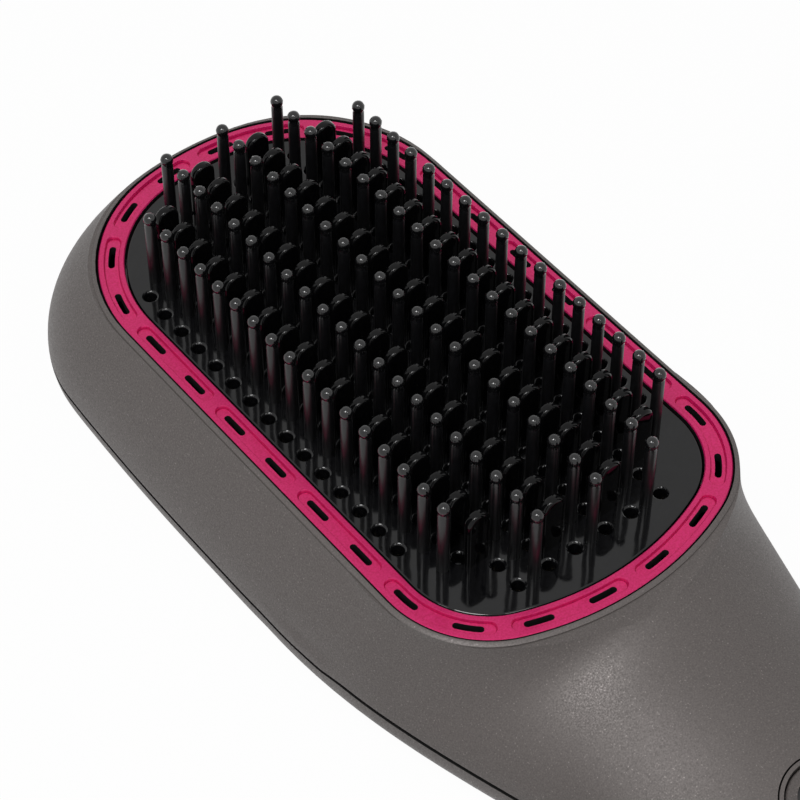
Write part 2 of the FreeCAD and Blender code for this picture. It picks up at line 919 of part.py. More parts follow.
def carrier_frame():
    """A tray under the plate, open in its floor and with four screw tabs at its sides."""
    floor_top = tray_top()
    low = floor_top - size.tray_floor
    wall_top = plate_top() - size.plate_thickness - size.gasket_thickness
    edge = -(size.ring_width + size.tray_gap)
    inside = edge - size.tray_wall
    tray = head_prism(edge, low, wall_top).cut(
        head_prism(inside, floor_top, wall_top + CUT_MARGIN)
    )
    reach = size.ring_half_width + size.tab_reach
    tabs = [
        Part.makeBox(2 * reach, size.tab_width, size.tray_floor,
                     Vector(-reach, way * size.tab_y - size.tab_width / 2, low))
        for way in (1, -1)
    ]
    tray = tray.fuse(tabs)
    window = Part.makeBox(
        2 * size.tray_window_half, size.tray_window_length, size.tray_floor + 2 * CUT_MARGIN,
        Vector(-size.tray_window_half, -size.tray_window_length / 2, low - CUT_MARGIN),
    )
    notch_length = size.ring_width + size.tray_gap + size.tray_wall + 2 * CUT_MARGIN
    notches = [
        Part.makeBox(size.lead_notch, notch_length, wall_top - floor_top + CUT_MARGIN,
                     Vector(x - size.lead_notch / 2, -size.ring_root, floor_top))
        for x in (-size.heater_x, 0, size.heater_x)
    ]
    holes = [
        post(x, y, size.small_screw_radius + size.screw_clearance, low - CUT_MARGIN,
             floor_top + CUT_MARGIN)
        for x, y in frame_screw_places()
    ]
    return feature("carrier_frame", tray.cut([window] + notches + holes))


def insulation_sheet():
    """A sheet cut to the tray's inside, on the tray's floor."""
    edge = -(size.ring_width + size.tray_gap + size.tray_wall + size.sheet_gap)
    return feature("insulation_sheet", head_prism(edge, tray_top(), tray_top() + size.sheet_thickness))


def heat_stack():
    bars = [
        block(f"heater_bar_{side}", x, "0", CLAMP_TOP, "heater_width", "heater_length",
              "heater_thickness")
        for side, x in (("left", "-heater_x"), ("right", "heater_x"))
    ]
    group("heater_bars", bars)
    keep(sheet_body("clamp_plate", "clamp_width", "clamp_length", "clamp_thickness",
                    "0", "0", SHEET_TOP), "clamp_plate")
    keep(block("thermistor", "0", "-sensor_y", PLATE_BACK + " - sensor_thickness",
               "sensor_width", "sensor_length", "sensor_thickness"), "thermistor")
    keep(block("thermal_fuse", "0", "fuse_y", PLATE_BACK + " - fuse_thickness",
               "fuse_width", "fuse_length", "fuse_thickness"), "thermal_fuse")


# Controls and board in the handle

FLANGE_TOP = "handle_top - wall - flange_drop"
FLANGE_BACK = FLANGE_TOP + " - flange_height"
PLUNGER_TOP = FLANGE_BACK + " - button_travel - switch_slack"
BOARD_BACK = "board_top - board_thickness"
BUTTON_CHAMFER = "flange_height / 2"


def button(label, y, radius, bore, rise):
    """A round cap that its flange keeps behind the handle's front wall."""
    height = f"handle_top + {rise} - ({FLANGE_TOP})"
    cap = capped_rod(label + "_cap", "0", y, FLANGE_TOP, radius, height, BUTTON_CHAMFER)
    flange = rod(label + "_flange", "0", y, FLANGE_BACK, f"{bore} + flange_width", "flange_height")
    return keep(fuse(label, cap + [flange]), label)


def controls():
    button("power_button", "-power_y", "power_radius", "power_radius + bezel_gap", "power_rise")
    button("temp_up_button", "-key_up_y", "key_radius", "key_radius + key_gap", "key_rise")
    button("temp_down_button", "-key_down_y", "key_radius", "key_radius + key_gap", "key_rise")
    seat = "handle_top - bezel_height"
    ring = rod("bezel_outside", "0", "-power_y", seat, "bezel_radius", "bezel_height")
    bore = rod("bezel_bore", "0", "-power_y", seat, "power_radius + bezel_gap", "bezel_height")
    keep(cut("button_bezel", ring, bore), "button_bezel")

    foot = "board_top + led_height"
    height = f"handle_top - ({foot})"
    slab = block("lens_slab", "0", "-lens_y", foot, "lens_width", "lens_length - lens_width", height)
    run = "(lens_length - lens_width) / 2"
    ends = [
        rod(f"lens_end_{way}", "0", f"-lens_y {sign} {run}", foot, "lens_width / 2", height)
        for way, sign in (("front", "+"), ("back", "-"))
    ]
    keep(fuse("indicator_lens", [slab] + ends), "indicator_lens")


def board_parts():
    length = "board_end - board_start"
    middle = "-(board_start + board_end) / 2"
    board = sheet_body("board_sheet", "board_width", length, "board_thickness", "0", middle,
                       BOARD_BACK)
    bores = [
        rod(f"board_bore_{end}", "0", f"-board_screw_{end}", BOARD_BACK,
            "small_screw_radius + screw_clearance", "board_thickness")
        for end in ("front", "back")
    ]
    keep(cut("control_board", board, fuse("board_bores", bores)), "control_board")

    switches = []
    for name, y in (("power", "-power_y"), ("up", "-key_up_y"), ("down", "-key_down_y")):
        case_height = f"({PLUNGER_TOP}) - plunger_height - board_top"
        case = block(f"switch_case_{name}", "0", y, "board_top", "switch_size", "switch_size",
                     case_height)
        plunger = rod(f"switch_plunger_{name}", "0", y, f"({PLUNGER_TOP}) - plunger_height",
                      "plunger_radius", "plunger_height")
        switches.append(fuse(f"switch_{name}", [case, plunger]))
    group("tact_switches", switches)

    leds = []
    for i in range(int(size.led_count)):
        step = i - (int(size.led_count) - 1) / 2
        leds.append(block(f"led_{i + 1}", "0", f"-lens_y + ({step}) * led_pitch", "board_top",
                          "led_size", "led_size", "led_height"))
    group("indicator_leds", leds)
    for label, name in (("filter_capacitor", "capacitor"), ("triac", "triac")):
        part = block(label, "0", f"-{name}_y", f"{BOARD_BACK} - {name}_height",
                     f"{name}_width", f"{name}_length", f"{name}_height")
        keep(part, label)


# Screws

def screw(name, x, y, seat, head_radius, head_height, radius, length, way):
    """A plain screw whose head rests on seat; way is 1 where the shank points up."""
    head_foot = f"({seat}) - {head_height}" if way > 0 else seat
    shank_foot = seat if way > 0 else f"({seat}) - {length}"
    head = prism(name + "_head", x, y, head_foot, head_radius, head_height)
    shank = prism(name + "_shank", x, y, shank_foot, radius, length)
    return fuse(name, [head, shank])


def screws():
    places = [("0", "tip_screw_y")]
    places += [(x, "-neck_screw_y") for x in ("neck_screw_x", "-neck_screw_x")]
    places += [(x, "-end_screw_y") for x in ("end_screw_x", "-end_screw_x")]
    group("housing_screws", [
        screw(f"housing_screw_{i + 1}", x, y, "screw_seat", "screw_head_radius",
              "screw_head_height", "screw_radius", "screw_length", 1)
        for i, (x, y) in enumerate(places)
    ])
    corners = [(x, y) for x in ("ring_half_width", "-ring_half_width") for y in ("tab_y", "-tab_y")]
    group("frame_screws", [
        screw(f"frame_screw_{i + 1}", x, y, TRAY_BACK, "small_head_radius", "small_head_height",
              "small_screw_radius", "frame_screw_length", 1)
        for i, (x, y) in enumerate(corners)
    ])
    group("board_screws", [
        screw(f"board_screw_{end}", "0", f"-board_screw_{end}", "board_top", "small_head_radius",
              "small_head_height", "small_screw_radius", "board_screw_length", -1)
        for end in ("front", "back")
    ])


# Leads and cord swivel

BEND_SHARE = 0.45
BEND_STEPS = 3
LEAD_SIDES = 6


def bent(points):
    """The route with each corner turned into a short run of points on a curve."""
    route = [points[0]]
    for before, corner, after in zip(points, points[1:], points[2:]):
        first = corner + (before - corner) * BEND_SHARE
        last = corner + (after - corner) * BEND_SHARE
        for i in range(BEND_STEPS + 1):
            share = i / BEND_STEPS
            near = first + (corner - first) * share
            far = corner + (last - corner) * share
            route.append(near + (far - near) * share)
    return route + [points[-1]]


def lead(x, route, radius):
    """A wire in one upright plane, in flat facets."""
    points = bent([Vector(x, y, z) for y, z in route])
    rings = []
    for i, point in enumerate(points):
        along = points[min(i + 1, len(points) - 1)] - points[max(i - 1, 0)]
        across = Vector(1, 0, 0)
        upward = along.normalize().cross(across)
        turns = [2 * math.pi * k / LEAD_SIDES for k in range(LEAD_SIDES)]
        rings.append([
            point + (across * math.cos(turn) + upward * math.sin(turn)) * radius for turn in turns
        ])
    return facet_solid(rings)


def leads():
    board_middle = size.board_top - size.board_thickness / 2
    bend = size.ring_root + CUT_MARGIN
    low_bend = size.board_start - size.lead_landing
    heater_z = plate_top() - size.plate_thickness - size.heater_lead_drop
    heater_end = -size.heater_length / 2
    feature("heater_leads", Part.makeCompound([
        lead(x, [(heater_end, heater_z), (-bend, heater_z), (-low_bend, board_middle),
                 (-size.board_start, board_middle)], size.heater_lead_radius)
        for x in (size.heater_x, -size.heater_x)
    ]))
    sensor_z = plate_top() - size.plate_thickness - size.sensor_lead_drop
    sensor_end = -(size.sensor_y + size.sensor_length / 2)
    feature("sensor_leads", Part.makeCompound([
        lead(x, [(sensor_end, sensor_z), (-bend, sensor_z), (-low_bend, board_middle),
                 (-size.board_start, board_middle)], size.sensor_lead_radius)
        for x in (size.sensor_lead_x, -size.sensor_lead_x)
    ]))
    seam = size.seam_height
    swivel_inside = size.handle_end - size.end_wall - size.swivel_flange_length
    mains_start = -(swivel_inside - 2 * size.swivel_end_gap)
    run = (size.board_end + mains_start) / 3
    feature("mains_leads", Part.makeCompound([
        lead(x, [(mains_start, seam), (mains_start - run, seam),
                 (-size.board_end + run, board_middle), (-size.board_end, board_middle)],
             size.mains_lead_radius)
        for x in (size.mains_lead_x, -size.mains_lead_x)
    ]))


def cord_swivel():
    """The turning gland: a flange behind the end wall, a neck through it and a tapered barrel."""
    axis = "seam_height"
    flange_start = "-(handle_end - end_wall - swivel_flange_length - swivel_end_gap)"
    barrel_start = "-(handle_end + swivel_end_gap)"
    flange = rod_along_y("swivel_flange", flange_start, "swivel_flange_radius",
                         "swivel_flange_length", axis)
    neck_length = "swivel_flange_length + end_wall + 2 * swivel_end_gap"
    neck = rod_along_y("swivel_neck", flange_start, "swivel_neck_radius", neck_length, axis)
    barrel = doc.addObject("Part::Cone", "swivel_barrel")
    bind(barrel, Radius1="swivel_barrel_radius", Radius2="swivel_neck_radius",
         Height="swivel_barrel_length")
    barrel.Placement = FreeCAD.Placement(Vector(), Rotation(Vector(1, 0, 0), 90))
    place(barrel, "0", barrel_start, axis)
    bore = rod_along_y("swivel_bore", flange_start, "swivel_bore_radius",
                       neck_length + " + swivel_barrel_length", axis)
    body = fuse("swivel_body", [flange, neck, barrel])
    keep(cut("cord_swivel", body, bore), "cord_swivel")


# Build, check and write

def build():
    front_housing()
    rear_cover()
    vent_ring()
    tooth_plate()
    bristle_pins()
    heating_teeth()
    plate_gasket()
    carrier_frame()
    insulation_sheet()
    heat_stack()
    controls()
    board_parts()
    screws()
    leads()
    cord_swivel()
    doc.recompute()


def check_document():
    for item in doc.Objects:
        if "Invalid" in item.State or "Error" in item.State:
            raise RuntimeError(f"{item.Label} failed to build: {item.State}")
    for item in pieces:
        if item.Shape.isNull() or not item.Shape.isValid():
            raise RuntimeError(f"{item.Label} has no valid shape")


def write_parts():
    os.makedirs("parts", exist_ok=True)
    for item in pieces:
        item.Shape.exportStep(f"parts/{item.Label}.step")
        print(f"{item.Label}: {len(item.Shape.Solids)} solids, {item.Shape.Volume:.0f} mm3")


build()
check_document()
write_parts()
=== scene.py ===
# %% [markdown]
# A heated straightening brush lies on its back with its pins up. The CAD model gives the frame: every
# piece's place, its joints and its size. This lesson dresses that frame in Blender with smooth forms,
# small rounded edges and procedural finishes. Work is in millimetres and is scaled to metres at the end
# of each piece, because the whole brush is under 30 cm long and millimetres are how it is drawn.

# %% Load the frame
import bmesh
import bpy
import json
import math
from mathutils import Matrix, Vector


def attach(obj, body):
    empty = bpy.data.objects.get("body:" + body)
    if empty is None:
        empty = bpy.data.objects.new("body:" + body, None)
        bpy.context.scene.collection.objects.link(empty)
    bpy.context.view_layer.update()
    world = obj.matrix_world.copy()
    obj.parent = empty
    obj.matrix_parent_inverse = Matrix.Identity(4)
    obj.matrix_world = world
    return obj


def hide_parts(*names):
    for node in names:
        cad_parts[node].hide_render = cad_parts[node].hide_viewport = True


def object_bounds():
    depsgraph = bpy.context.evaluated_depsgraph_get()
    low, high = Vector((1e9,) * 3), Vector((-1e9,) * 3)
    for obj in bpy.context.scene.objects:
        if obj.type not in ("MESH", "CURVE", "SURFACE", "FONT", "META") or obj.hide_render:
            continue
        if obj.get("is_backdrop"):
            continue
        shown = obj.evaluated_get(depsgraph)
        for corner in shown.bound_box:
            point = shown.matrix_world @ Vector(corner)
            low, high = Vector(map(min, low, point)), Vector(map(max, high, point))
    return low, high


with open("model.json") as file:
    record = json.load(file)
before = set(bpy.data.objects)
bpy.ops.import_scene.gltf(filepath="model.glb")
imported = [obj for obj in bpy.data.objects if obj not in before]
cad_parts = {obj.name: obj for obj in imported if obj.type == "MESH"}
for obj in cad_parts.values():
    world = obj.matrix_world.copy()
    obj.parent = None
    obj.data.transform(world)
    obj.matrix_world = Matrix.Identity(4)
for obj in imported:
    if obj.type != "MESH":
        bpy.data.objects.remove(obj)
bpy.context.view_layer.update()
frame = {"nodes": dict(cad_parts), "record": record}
MM = 0.001

# %% [markdown]
# The camera comes first, because every later choice is judged through it. The regular grid of pins gives
# its place: a long lens about 43 cm away, above and to the left of the handle. A small shift moves the
# picture, so that the lens can look straight at the middle of the bristle field.

# %% Camera
AIM = Vector((0, 0, 30)) * MM
AZIMUTH = math.radians(-38.19)
ELEVATION = math.radians(48.55)
DISTANCE = 429.1 * MM

back = Vector((
    math.sin(AZIMUTH) * math.cos(ELEVATION),
    -math.cos(AZIMUTH) * math.cos(ELEVATION),
    math.sin(ELEVATION),
))
lens = bpy.data.cameras.new("camera")
lens.lens = 126
lens.sensor_width = 36
lens.shift_x = 0.0021
lens.shift_y = -0.0576
lens.clip_start = 0.01
camera = bpy.data.objects.new("camera", lens)
bpy.context.collection.objects.link(camera)
camera.location = AIM + back * DISTANCE
camera.rotation_mode = "QUATERNION"
camera.rotation_quaternion = (-back).to_track_quat("-Z", "Y")
bpy.context.scene.camera = camera
bpy.context.scene.view_settings.view_transform = "Standard"
print("camera at", [round(value / MM) for value in camera.location], "mm")

# %% [markdown]
# A node material is a small graph. One helper adds a node, sets its properties and fills its sockets:
# a socket that is given another socket is linked, and anything else becomes its value. Colours are
# written as the hex values that a screen shows, and one function turns them to the linear values that
# the shader works in.

# %% Node and colour helpers
def hex_colour(text):
    values = [int(text[i:i + 2], 16) / 255 for i in (1, 3, 5)]
    linear = [v / 12.92 if v <= 0.04045 else ((v + 0.055) / 1.055) ** 2.4 for v in values]
    return (*linear, 1.0)


def add(tree, kind, sockets=None, **settings):
    made = tree.nodes.new(kind)
    for name, value in settings.items():
        setattr(made, name, value)
    for name, value in (sockets or {}).items():
        if isinstance(value, bpy.types.NodeSocket):
            tree.links.new(value, made.inputs[name])
        else:
            made.inputs[name].default_value = value
    return made


def start_material(name):
    """A new material, its tree, its shader and the coordinates that its patterns read, in metres."""
    material = bpy.data.materials.new(name)
    material.use_nodes = True
    tree = material.node_tree
    shader = tree.nodes["Principled BSDF"]
    coords = add(tree, "ShaderNodeTexCoord").outputs["Object"]
    return material, tree, shader, coords


print("helpers ready, mid grey is", round(hex_colour("#808080")[0], 3))

# %% [markdown]
# The studio is plain: a pale floor, a white surround and soft lamps. A bright surround alone would wash
# the object out. So the floor and the surround show white only to the camera, to gloss and to glass, and
# light the object at a plain level, at which each colour renders about as it is written. The floor keeps
# a small share of its own shading, so that it takes a faint shadow.

# %% Floor and surround
SURROUND_LIGHT = 0.19
FLOOR_WHITE = 0.82
FLOOR_GLOW = 0.97
FLOOR_HALF = 3.0
WHITE = (1, 1, 1, 1)


def seen_directly(tree):
    """One for rays of the camera, of gloss and of glass, and zero for light that falls on the object."""
    path = add(tree, "ShaderNodeLightPath")
    seen = add(tree, "ShaderNodeMath", {0: path.outputs["Is Camera Ray"], 1: path.outputs["Is Glossy Ray"]},
               operation="MAXIMUM")
    shown = add(tree, "ShaderNodeMath", {0: seen.outputs[0], 1: path.outputs["Is Transmission Ray"]},
                operation="MAXIMUM")
    return shown.outputs[0]


world = bpy.data.worlds.new("white_surround")
world.use_nodes = True
bpy.context.scene.world = world
tree = world.node_tree
strength = add(tree, "ShaderNodeMapRange",
               {"Value": seen_directly(tree), "To Min": SURROUND_LIGHT, "To Max": 1.0})
surround = tree.nodes["Background"]
surround.inputs["Color"].default_value = WHITE
tree.links.new(strength.outputs[0], surround.inputs["Strength"])

floor_paint, tree, shader, _ = start_material("matt_white_floor")
shader.inputs["Base Color"].default_value = (FLOOR_WHITE, FLOOR_WHITE, FLOOR_WHITE, 1)
shader.inputs["Roughness"].default_value = 0.9
share = add(tree, "ShaderNodeMath", {0: seen_directly(tree), 1: FLOOR_GLOW}, operation="MULTIPLY")
glow = add(tree, "ShaderNodeEmission", {"Color": WHITE, "Strength": 1.0})
mixed = add(tree, "ShaderNodeMixShader", {0: share.outputs[0], 1: shader.outputs[0], 2: glow.outputs[0]})
tree.links.new(mixed.outputs[0], tree.nodes["Material Output"].inputs["Surface"])

bm = bmesh.new()
bmesh.ops.create_grid(bm, x_segments=1, y_segments=1, size=FLOOR_HALF)
floor_mesh = bpy.data.meshes.new("floor")
bm.to_mesh(floor_mesh)
bm.free()
floor_mesh.materials.append(floor_paint)
floor = bpy.data.objects.new("floor", floor_mesh)
bpy.context.collection.objects.link(floor)
floor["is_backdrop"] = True
print("floor is", 2 * FLOOR_HALF, "m wide")

# %% [markdown]
# Three soft boxes light the object. The large one, high on the left, gives the form. Two small ones, to
# the left and beyond the handle, draw the bright spots on the balls and the teeth. They are area lamps
# and not points, because gloss shows a lamp's own shape.

# %% Lamps
def softbox(name, place, aim, side, watts):
    """A square area lamp, with its place, its aim and its side in metres."""
    light = bpy.data.lights.new(name, "AREA")
    light.shape = "SQUARE"
    light.size = side
    light.energy = watts
    lamp = bpy.data.objects.new(name, light)
    lamp.location = place
    lamp.rotation_mode = "QUATERNION"
    lamp.rotation_quaternion = (Vector(aim) - Vector(place)).to_track_quat("-Z", "Y")
    bpy.context.collection.objects.link(lamp)


softbox("key_box", (-0.32, -0.20, 0.74), aim=(0, -0.02, 0.02), side=0.25, watts=3.4)
softbox("left_box", (-0.53, -0.02, 0.63), aim=(0, 0, 0.04), side=0.12, watts=0.4)
softbox("right_box", (-0.06, -0.53, 0.63), aim=(0, 0, 0.04), side=0.15, watts=0.6)
print(len(bpy.data.lights), "lamps placed")

# %% [markdown]
# Every new piece ends the same way. Its doubled points are merged, its faces are turned outwards, it is
# scaled to metres and it is shaded smooth, except where two faces meet at a sharp angle. Then it is hung on
# the empty of the CAD body that carries it, and the CAD node that it stands for is hidden.
# Holes are cut with the boolean modifier. Its manifold solver is quick and exact on closed shapes, and
# the cut faces take the material of the shape that cut them.

# %% Piece helpers
WELD = 1e-3
SHARP = math.radians(38)


def mesh_object(name, bm, material=None):
    """A new object from a bmesh in millimetres."""
    bmesh.ops.remove_doubles(bm, verts=bm.verts, dist=WELD)
    bmesh.ops.recalc_face_normals(bm, faces=bm.faces)
    bmesh.ops.scale(bm, vec=Vector((MM, MM, MM)), verts=bm.verts)
    mesh = bpy.data.meshes.new(name)
    bm.to_mesh(mesh)
    bm.free()
    if material:
        mesh.materials.append(material)
    made = bpy.data.objects.new(name, mesh)
    bpy.context.collection.objects.link(made)
    return made


def apply_modifiers(thing):
    """Puts what the modifiers make of the mesh in its place."""
    bpy.context.view_layer.update()
    graph = bpy.context.evaluated_depsgraph_get()
    mesh = bpy.data.meshes.new_from_object(thing.evaluated_get(graph))
    thing.modifiers.clear()
    old = thing.data
    thing.data = mesh
    bpy.data.meshes.remove(old)


def take_bmesh(thing):
    """Takes an object away and gives its shape as a bmesh in millimetres."""
    bm = bmesh.new()
    bm.from_mesh(thing.data)
    old = thing.data
    bpy.data.objects.remove(thing)
    bpy.data.meshes.remove(old)
    bmesh.ops.scale(bm, vec=Vector((1, 1, 1)) / MM, verts=bm.verts)
    return bm


def carve(thing, shape, lining=None, operation="DIFFERENCE"):
    """Cuts a closed shape out of a piece, whose cut faces get the lining, or joins it on."""
    tool = mesh_object("tool", shape, lining or thing.data.materials[0])
    boolean = thing.modifiers.new("carve", "BOOLEAN")
    boolean.operation = operation
    boolean.solver = "MANIFOLD"
    boolean.material_mode = "TRANSFER"
    boolean.object = tool
    apply_modifiers(thing)
    take_bmesh(tool).free()


def settle(thing, node, body="body"):
    """Shades a finished piece, hangs it on its CAD body and hides the CAD node that it stands for."""
    mesh = thing.data
    mesh.shade_smooth()
    mesh.set_sharp_from_angle(angle=SHARP)
    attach(thing, body)
    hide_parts(node)
    print(thing.name, "has", len(mesh.polygons), "faces")


print("points closer than", WELD, "mm are merged")

# %% [markdown]
# The head's outline is the one drawing that most pieces share: straight sides, round corners and
# slightly bowed ends. It could be a curve object, but edges in a mesh can be bridged and filled at once.
# A single point is swung round the centre of each arc in turn with the spin operator, which leaves a
# trail of edges. The outline can be moved out or in, by its own amount at the sides, at the handle's end
# and at the tip, because the walls lean differently there. Where it moves out, the corners of the tip
# get a little tighter, as they do on the real housing.

# %% The head's outline
HALF_WIDTH = 30.0
TIP_REACH = 56.2
ROOT_REACH = 56.2
END_RADIUS = 50.0
TIP_CORNER = 26.5
TIP_GROWTH = -0.35
ROOT_CORNER = 18.0
UP = Vector((0, 0, 1))


def swing(bm, vert, centre, axis, angle, steps):
    """Spins one point round a centre and gives the last point of the trail."""
    spun = bmesh.ops.spin(bm, geom=[vert], cent=centre, axis=axis, angle=angle, steps=steps)
    return spun["geom_last"][0]


def step_to(bm, vert, place):
    """Draws a straight edge from a point to a new one."""
    moved = bm.verts.new(place)
    bm.edges.new((vert, moved))
    return moved


def end_arcs(side, reach, corner, offset):
    """Corner centre across and along, end centre along and the corner's angle, at one end."""
    radius = END_RADIUS + offset
    across = HALF_WIDTH + offset - corner
    along = math.sqrt((radius - corner) ** 2 - across ** 2)
    end_y = side * (reach - radius)
    return across, end_y + side * along, end_y, math.atan2(along, across)


def head_loop(bm, offset, root_offset, tip_offset, z, steps=10):
    """Draws the outline at height z, moved out at its sides, root and tip, and gives its edges."""
    known = set(bm.edges)
    half = HALF_WIDTH + offset
    tip_corner = TIP_CORNER + offset * (TIP_GROWTH if offset > 0 else 1)
    root_corner = ROOT_CORNER + offset
    tip_x, tip_y, tip_end, tip_turn = end_arcs(1, TIP_REACH + tip_offset, tip_corner, offset)
    root_x, root_y, root_end, root_turn = end_arcs(-1, ROOT_REACH + root_offset, root_corner, offset)
    first = bm.verts.new((half, tip_y, z))
    vert = swing(bm, first, (tip_x, tip_y, z), UP, tip_turn, steps)
    vert = swing(bm, vert, (0, tip_end, z), UP, math.pi - 2 * tip_turn, steps)
    vert = swing(bm, vert, (-tip_x, tip_y, z), UP, tip_turn, steps)
    vert = step_to(bm, vert, (-half, root_y, z))
    vert = swing(bm, vert, (-root_x, root_y, z), UP, root_turn, steps)
    vert = swing(bm, vert, (0, root_end, z), UP, math.pi - 2 * root_turn, steps)
    vert = swing(bm, vert, (root_x, root_y, z), UP, root_turn, steps)
    bm.edges.new((vert, first))
    return [edge for edge in bm.edges if edge not in known]


bm = bmesh.new()
edges = head_loop(bm, 0, 0, 0, 0)
print("outline", len(edges), "edges,", round(sum(edge.calc_length() for edge in edges)), "mm round")
bm.free()

# %% [markdown]
# Two kinds of solid come from the outline. A skin bridges one loop to the next and closes both ends,
# which suits a wall that changes from level to level. A band carries a small drawn section once round
# the outline, which suits a rim or a ring: each arc is a spin, and each straight side is an extrusion.

# %% Solids from the outline
def skin(bm, loops):
    """Bridges each loop to the next, and caps both ends."""
    bmesh.ops.edgeloop_fill(bm, edges=loops[0])
    bmesh.ops.edgeloop_fill(bm, edges=loops[-1])
    for low, high in zip(loops, loops[1:]):
        bmesh.ops.bridge_loops(bm, edges=low + high)


def head_slab(offset, low, high, steps):
    """A flat slab with the head's outline."""
    bm = bmesh.new()
    skin(bm, [head_loop(bm, offset, offset, offset, z, steps) for z in (low, high)])
    return bm


def carry_round(profile, steps):
    """A band that carries a closed profile of offset and height once round the head's outline."""
    bm = bmesh.new()
    tip_x, tip_y, tip_end, tip_turn = end_arcs(1, TIP_REACH, TIP_CORNER, 0)
    root_x, root_y, root_end, root_turn = end_arcs(-1, ROOT_REACH, ROOT_CORNER, 0)
    tip = [(tip_x, tip_y, tip_turn), (0, tip_end, math.pi - 2 * tip_turn), (-tip_x, tip_y, tip_turn)]
    root = [(-root_x, root_y, root_turn), (0, root_end, math.pi - 2 * root_turn), (root_x, root_y, root_turn)]
    verts = [bm.verts.new((HALF_WIDTH + offset, tip_y, z)) for offset, z in profile]
    moved = verts + [bm.edges.new((verts[i - 1], verts[i])) for i in range(len(verts))]
    for arcs, run in ((tip, root_y - tip_y), (root, tip_y - root_y)):
        for x, y, turn in arcs:
            spun = bmesh.ops.spin(bm, geom=moved, cent=(x, y, 0), axis=UP, angle=turn, steps=steps)
            moved = spun["geom_last"]
        edges = [g for g in moved if isinstance(g, bmesh.types.BMEdge)]
        grown = bmesh.ops.extrude_edge_only(bm, edges=edges)["geom"]
        moved = [g for g in grown if not isinstance(g, bmesh.types.BMFace)]
        ends = [g for g in moved if isinstance(g, bmesh.types.BMVert)]
        bmesh.ops.translate(bm, vec=(0, run, 0), verts=ends)
    return bm


bm = head_slab(0, 0, 1, steps=10)
print("a slab of it has", len(bm.faces), "faces")
bm.free()

# %% [markdown]
# The housing is a flared head that grows out of a domed neck and handle. It could be one cage for a
# subdivision surface, but the place where the head's wall sinks into the neck has a long soft hollow
# that is hard to cage. So the head and the handle are skinned apart and melted together afterwards. The
# head's wall leans out from the rim down to the seam, and below it the back draws in along a quarter
# ellipse. The long sides also draw in towards the neck, and a little towards the tip. For that they are
# subdivided, and their points are moved.

# %% Flare and taper of the head
SEAM = 10.0
RIM = 30.0
SEAM_FLARE = 7.5
ROOT_FLARE = 3.5
TIP_FLARE = 10.2
RIM_FLARE = 0.8
ROOT_RIM_FLARE = 1.6
FLARE_LEAN = 0.9
FLARE_BOW = 5.8
BACK_ROUND = 8.0
WAIST_START = -8.0
WAIST_RADIUS = 150.0
TAPER_START = 5.0
TAPER_RADIUS = 500.0
LONG_EDGE = 20.0
SIDE_CUTS = 24


def between(first, last, share):
    return first + (last - first) * share


def flare(z):
    """How far the head's wall stands outside the ring's outline, at its sides, root and tip."""
    share = (z - SEAM) / (RIM - SEAM)
    side = SEAM_FLARE - FLARE_LEAN * share - FLARE_BOW * share ** 2
    return side, between(ROOT_FLARE, ROOT_RIM_FLARE, share), side + (TIP_FLARE - SEAM_FLARE) * (1 - share)


def back_levels(inset, top):
    """How far the back half draws in at each height, along a quarter ellipse."""
    rise = SEAM - inset
    levels = [(inset, top)]
    for degrees in range(0, 91, 10):
        turn = math.radians(degrees)
        levels.append((inset + BACK_ROUND * (1 - math.cos(turn)), SEAM - rise * math.sin(turn)))
    return levels


def draw_in(bm):
    """Moves the head's sides in near the handle and a little near the tip, most at the seam."""
    straight = [edge for edge in bm.edges if edge.calc_length() > LONG_EDGE]
    bmesh.ops.subdivide_edges(bm, edges=straight, cuts=SIDE_CUTS, use_grid_fill=True)
    for vert in bm.verts:
        waist = max(0, WAIST_START - vert.co.y) ** 2 / (2 * WAIST_RADIUS)
        taper = max(0, vert.co.y - TAPER_START) ** 2 / (2 * TAPER_RADIUS)
        share = min(max((RIM - vert.co.z) / (RIM - SEAM), 0), 1)
        vert.co.x *= 1 - share * (waist + taper) / (HALF_WIDTH + SEAM_FLARE)


print("wall leans out", round(flare(SEAM)[0] - flare(RIM)[0], 1), "mm from rim to seam")

# %% [markdown]
# The neck and the handle are a row of sections that are skinned one to the next. A section of the front
# half has short upright sides, an arc at each corner and a flatter arc on top. One of the back half is
# flat below, with a quarter ellipse at each side. Width, height and side change along cosine curves,
# which start and end level, so that the broad neck runs into the slim grip without a kink. A curve with a
# bevel could be swept too, but its section couldn't change its form on the way.

# %% Sections of the neck and handle
NECK_HALF, GRIP_HALF, HALF_RUN = 37.4, 17.0, (16, 118)
NECK_TOP, GRIP_TOP, TOP_RUN = 29.5, 23.7, (46, 98)
NECK_SIDE, GRIP_SIDE, SIDE_RUN = 0.6, 5.0, (56, 106)
DOME_CORNER = 7.0
CORNER_STEPS = 8
TOP_STEPS = 20
SIDEWAYS = Vector((0, 1, 0))


def ease(value, start, end):
    share = min(max((value - start) / (end - start), 0), 1)
    return 0.5 - 0.5 * math.cos(math.pi * share)


def neck_half(y):
    return between(NECK_HALF, GRIP_HALF, ease(-y, *HALF_RUN))


